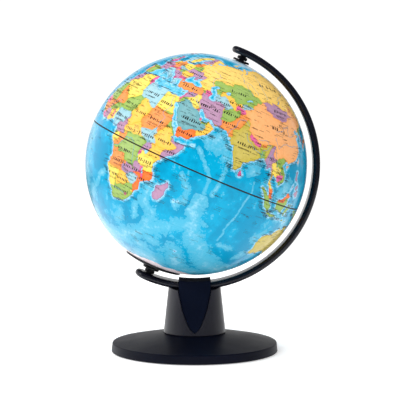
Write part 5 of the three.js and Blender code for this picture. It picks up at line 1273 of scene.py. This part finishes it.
def arm_piece(name, mat, stations=260, round_steps=12, tip_steps=24):
    """The flat strip with a full-round edge, bent round the ball, and with round ends."""
    half_t, half_w, reach = ARM_T / 2, ARM_DEPTH / 2, ARM_END
    mid = ARM_IN + half_t
    bend = [math.pi * j / tip_steps for j in range(1, tip_steps)]
    rims = []
    for k in range(round_steps + 1):
        a = -math.pi / 2 + math.pi * k / round_steps
        w, lift = half_w - half_t * (1 - math.cos(a)), half_t * math.sin(a)
        line = [(-reach + 2 * reach * i / stations, w, 0.0) for i in range(stations + 1)]
        line += [(reach, w * math.cos(b), w * math.sin(b)) for b in bend]
        line += [(reach - 2 * reach * i / stations, -w, 0.0) for i in range(stations + 1)]
        line += [(-reach, -w * math.cos(b), -w * math.sin(b)) for b in bend]
        rims.append([(s + e / mid, y, mid + lift) for s, y, e in line])
    n = len(rims[0])
    points = []
    for rim in rims:
        for s, y, r in rim:
            p = ARM_CENTRE + MID_ARC * (r * math.cos(s)) + POLAR * (r * math.sin(s))
            points.append((p.x, y, p.z))
    faces = [[k * n + i, k * n + (i + 1) % n, (k + 1) * n + (i + 1) % n, (k + 1) * n + i]
             for k in range(round_steps) for i in range(n)]
    back = stations + tip_steps  # where the far side's line starts
    for base, order in ((0, 1), (round_steps * n, -1)):
        pairs = [(i, back + stations - i) for i in range(stations + 1)]
        for (a, b), (c, d) in zip(pairs, pairs[1:]):
            faces.append([base + v for v in (a, c, d, b)][::order])
        for end in (list(range(stations, back + 1)), list(range(back + stations, n)) + [0]):
            faces.append([base + v for v in end][::order])
    return finished(mesh_of(name, np.array(points) * MM, faces), "stand", "stand_plastic", mat, "meridian_arm", 50)


def moulded_copy(name, cad, slot, mat):
    """A cut piece with its facets joined into smooth walls and flat faces."""
    obj = bpy.data.objects.new(name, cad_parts[cad].data.copy())
    bpy.context.scene.collection.objects.link(obj)
    if "custom_normal" in obj.data.attributes:
        obj.data.attributes.remove(obj.data.attributes["custom_normal"])
    form = bmesh.new()
    form.from_mesh(obj.data)
    bmesh.ops.remove_doubles(form, verts=form.verts, dist=0.01 * MM)
    bmesh.ops.dissolve_limit(form, angle_limit=math.radians(0.4), verts=form.verts, edges=form.edges)
    form.to_mesh(obj.data)
    form.free()
    return finished(obj, "stand", slot, mat, cad, 24)


def stand_pieces():
    """Finer pieces with the dimensions of the CAD nodes that they stand for."""
    def dome(drop, start, end, steps):
        """The bulged top of the base, from one radius to another, this far under its outside."""
        pts = []
        for i in range(steps + 1):
            w = i / steps
            z = BASE_RIM_Z * (1 - w) ** 2 + 2 * DOME_BULGE_Z * w * (1 - w) + PLATE_Z * w ** 2
            pts.append((start * (1 - w) + end * w, z - drop))
        return pts

    edge_r, bore_r = BASE_RIM_R - BASE_EDGE, SPIGOT_R - SPIGOT_T
    spigot_z, wall_r = PLATE_Z + SPIGOT_H, BASE_R - 2.7
    shell = [(BASE_R - 0.4, BASE_FOOT_Z), (BASE_R, BASE_FOOT_Z + 0.4)]
    shell += arc(BASE_EDGE, 0, math.pi / 2, 6, edge_r, BASE_RIM_Z - BASE_EDGE)[:-1] + dome(0, edge_r, PLATE_R, 24)
    shell += [(SPIGOT_R, PLATE_Z), (SPIGOT_R, spigot_z), (bore_r, spigot_z), (bore_r, PLATE_Z)]
    shell += [(0, PLATE_Z), (0, PLATE_Z - BASE_WALL)] + dome(BASE_WALL, wall_r + 0.1, PLATE_R, 8)[::-1]
    shell += [(wall_r, BASE_FOOT_Z)]
    turned("base_shell_moulded", shell, "stand", "stand_plastic", navy, "base_shell", radius=0.15, segments=224)
    arm_piece("meridian_arm_moulded", arm_navy)
    # the column takes the navy with the painted sheen in its colour
    moulded_copy("column_moulded", "column", "stand_plastic", column_painted_sheen_navy)
    moulded_copy("saddle_clip_moulded", "saddle_clip", "clip_plastic", clip_black)
    hole = lambda r: math.acos(CAP_HOLE_R / r)
    cap = arc(CAP_OUT, hole(CAP_OUT), CAP_TURN + CAP_BEVEL, 14) + arc(CAP_IN, CAP_TURN, hole(CAP_IN), 10)
    turned("south_pole_cap_moulded", cap, "ball", "pole_plastic", pole_black, "south_pole_cap", True, -1, 0.4)
    half_ring = [(RING_IN, RING_HALF), (RING_OUT, RING_HALF), (RING_OUT, RIB_HALF), (RIB_OUT, RIB_HALF)]
    ring = [(r, -z) for r, z in half_ring] + half_ring[::-1]
    turned("equator_rib", ring, "ball", "rib_plastic", rib_brown, "equator_ring", True, 1, 0.12, 320)
    for name, side, seat in (("north", 1, CAP_IN), ("south", -1, CAP_OUT + GAP)):
        top = seat + COLLAR_FLANGE_T
        collar = [(COLLAR_BORE_R, COLLAR_END), (COLLAR_SLEEVE_R, COLLAR_END), (COLLAR_SLEEVE_R, seat),
                  (COLLAR_FLANGE_R, seat), (COLLAR_FLANGE_R, top - 0.6), (COLLAR_FLANGE_R - 0.6, top), (COLLAR_BORE_R, top)]
        turned(name + "_pole_collar_moulded", collar, "ball", "pole_plastic", pole_black, name + "_pole_collar",
               True, side, 0.3, 96)
        neck = top + GAP
        stop, peg = POST_TOP - side * ARM_SHIFT, POST_PEG_TOP - side * ARM_SHIFT
        bead = (neck + stop) / 2
        post = [(0, POST_PIN_END), (POST_PIN_R - 0.5, POST_PIN_END), (POST_PIN_R, POST_PIN_END + 0.5), (POST_PIN_R, neck)]
        post += [(POST_R, neck), (POST_R, bead - 0.7), (POST_BEAD_R - 0.12, bead - 0.4), (POST_BEAD_R, bead),
                 (POST_BEAD_R - 0.12, bead + 0.4), (POST_R, bead + 0.7), (POST_R, stop)]
        post += [(POST_PEG_R, stop), (POST_PEG_R, peg), (0, peg)]
        turned(name + "_pivot_post_moulded", post, "stand", "stand_plastic", pole_black, name + "_pivot_post",
               True, side, 0.2, 96)


# ---------------------------------------------------------------- finishes of the carried-over CAD nodes
FINISH_OF = {
    "equator_ring": "rib_plastic", "base_pad": "pad_foam", "base_ballast": "ballast_steel", "saddle_clip": "clip_plastic",
    "south_pole_cap": "pole_plastic",
}
for side in ("north", "south"):
    FINISH_OF.update({side + part: "pole_plastic" for part in ("_pivot_post", "_pole_collar", "_collar_nut")})
stand_pieces()
for name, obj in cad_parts.items():
    obj.data.materials.clear()
    obj.data.materials.append(FINISH[FINISH_OF.get(name, "steel" if "screw" in name else "stand_plastic")])

# ---------------------------------------------------------------- stage, light and camera
scene = bpy.context.scene
scene.view_settings.view_transform = "Standard"
FLOOR_R, FLOOR_SIDES, FLOOR_Z = 0.75, 64, -0.0002
turns = [2 * math.pi * k / FLOOR_SIDES for k in range(FLOOR_SIDES)]
rim = [(FLOOR_R * math.cos(a), FLOOR_R * math.sin(a), FLOOR_Z) for a in turns]
floor = mesh_of("studio_floor", rim, [list(range(FLOOR_SIDES))], smooth=False)
mat, t = material("pale_floor")
coords = node(t, "TexCoord").outputs["Object"]
shade = blend(t, ramp(t, grain(t, coords, 400, 3), 0.3, 0.7), (0.86, 0.86, 0.86), (0.89, 0.89, 0.89))
close(t, node(t, "BsdfPrincipled", {"Base Color": shade, "Roughness": 0.9, "Specular IOR Level": 0.1,
                                    "Emission Color": (1, 1, 1, 1), "Emission Strength": 0.46}).outputs[0])
floor.data.materials.append(mat)

world = bpy.data.worlds.new("studio_white")
scene.world = world
world.use_nodes = True
t = world.node_tree
t.nodes.clear()
seen = node(t, "LightPath").outputs["Is Camera Ray"]
sky = node(t, "Background", {"Color": (1, 1, 1, 1), "Strength": add(t, times(t, seen, 0.95), 0.15)})
t.links.new(sky.outputs[0], node(t, "OutputWorld").inputs[0])


def softbox(name, at, aim, size, watts, mirrored=True):
    """A soft rectangular light; one that is not mirrored lights the object without showing in its gloss."""
    light = bpy.data.lights.new(name, "AREA")
    light.shape, light.size, light.size_y, light.energy = "RECTANGLE", size[0], size[1], watts
    obj = bpy.data.objects.new(name, light)
    scene.collection.objects.link(obj)
    obj.location = at
    obj.rotation_euler = (Vector(aim) - Vector(at)).to_track_quat("-Z", "Y").to_euler()
    obj.visible_camera = False
    obj.visible_glossy = mirrored


softbox("key_front", (-0.9, -1.7, 1.3), (0, 0, 0.15), (1.0, 1.0), 25, False)
softbox("key_left", (-1.9, -0.6, 0.9), (0, 0, 0.15), (1.0, 1.0), 13)
softbox("fill_right", (1.3, -1.6, 0.7), (0, 0, 0.15), (0.8, 0.8), 16, False)
softbox("top", (-0.3, 0.0, 1.9), (0, 0, 0.1), (1.6, 1.6), 30, False)
softbox("white_wall", (0.0, 1.6, 0.45), (0, 0, 0.30), (3.6, 0.9), 8)
softbox("left_wall", (-1.7, 0.7, 0.5), (0, 0, 0.20), (2.0, 1.2), 9)
softbox("right_wall", (1.8, 0.5, 0.4), (0, 0, 0.20), (1.6, 0.8), 1.4)

CAM_DIST, CAM_HIGH, CAM_DOWN = 1.5689, 0.2757, math.radians(5.014)
camera = bpy.data.cameras.new("camera")
camera.sensor_width, camera.lens = 36.0, 156.6
camera.shift_x = 0.0135
eye = bpy.data.objects.new("camera", camera)
scene.collection.objects.link(eye)
eye.location = (0, -CAM_DIST, CAM_HIGH)
eye.rotation_euler = (math.radians(90) - CAM_DOWN, 0, 0)
scene.camera = eye
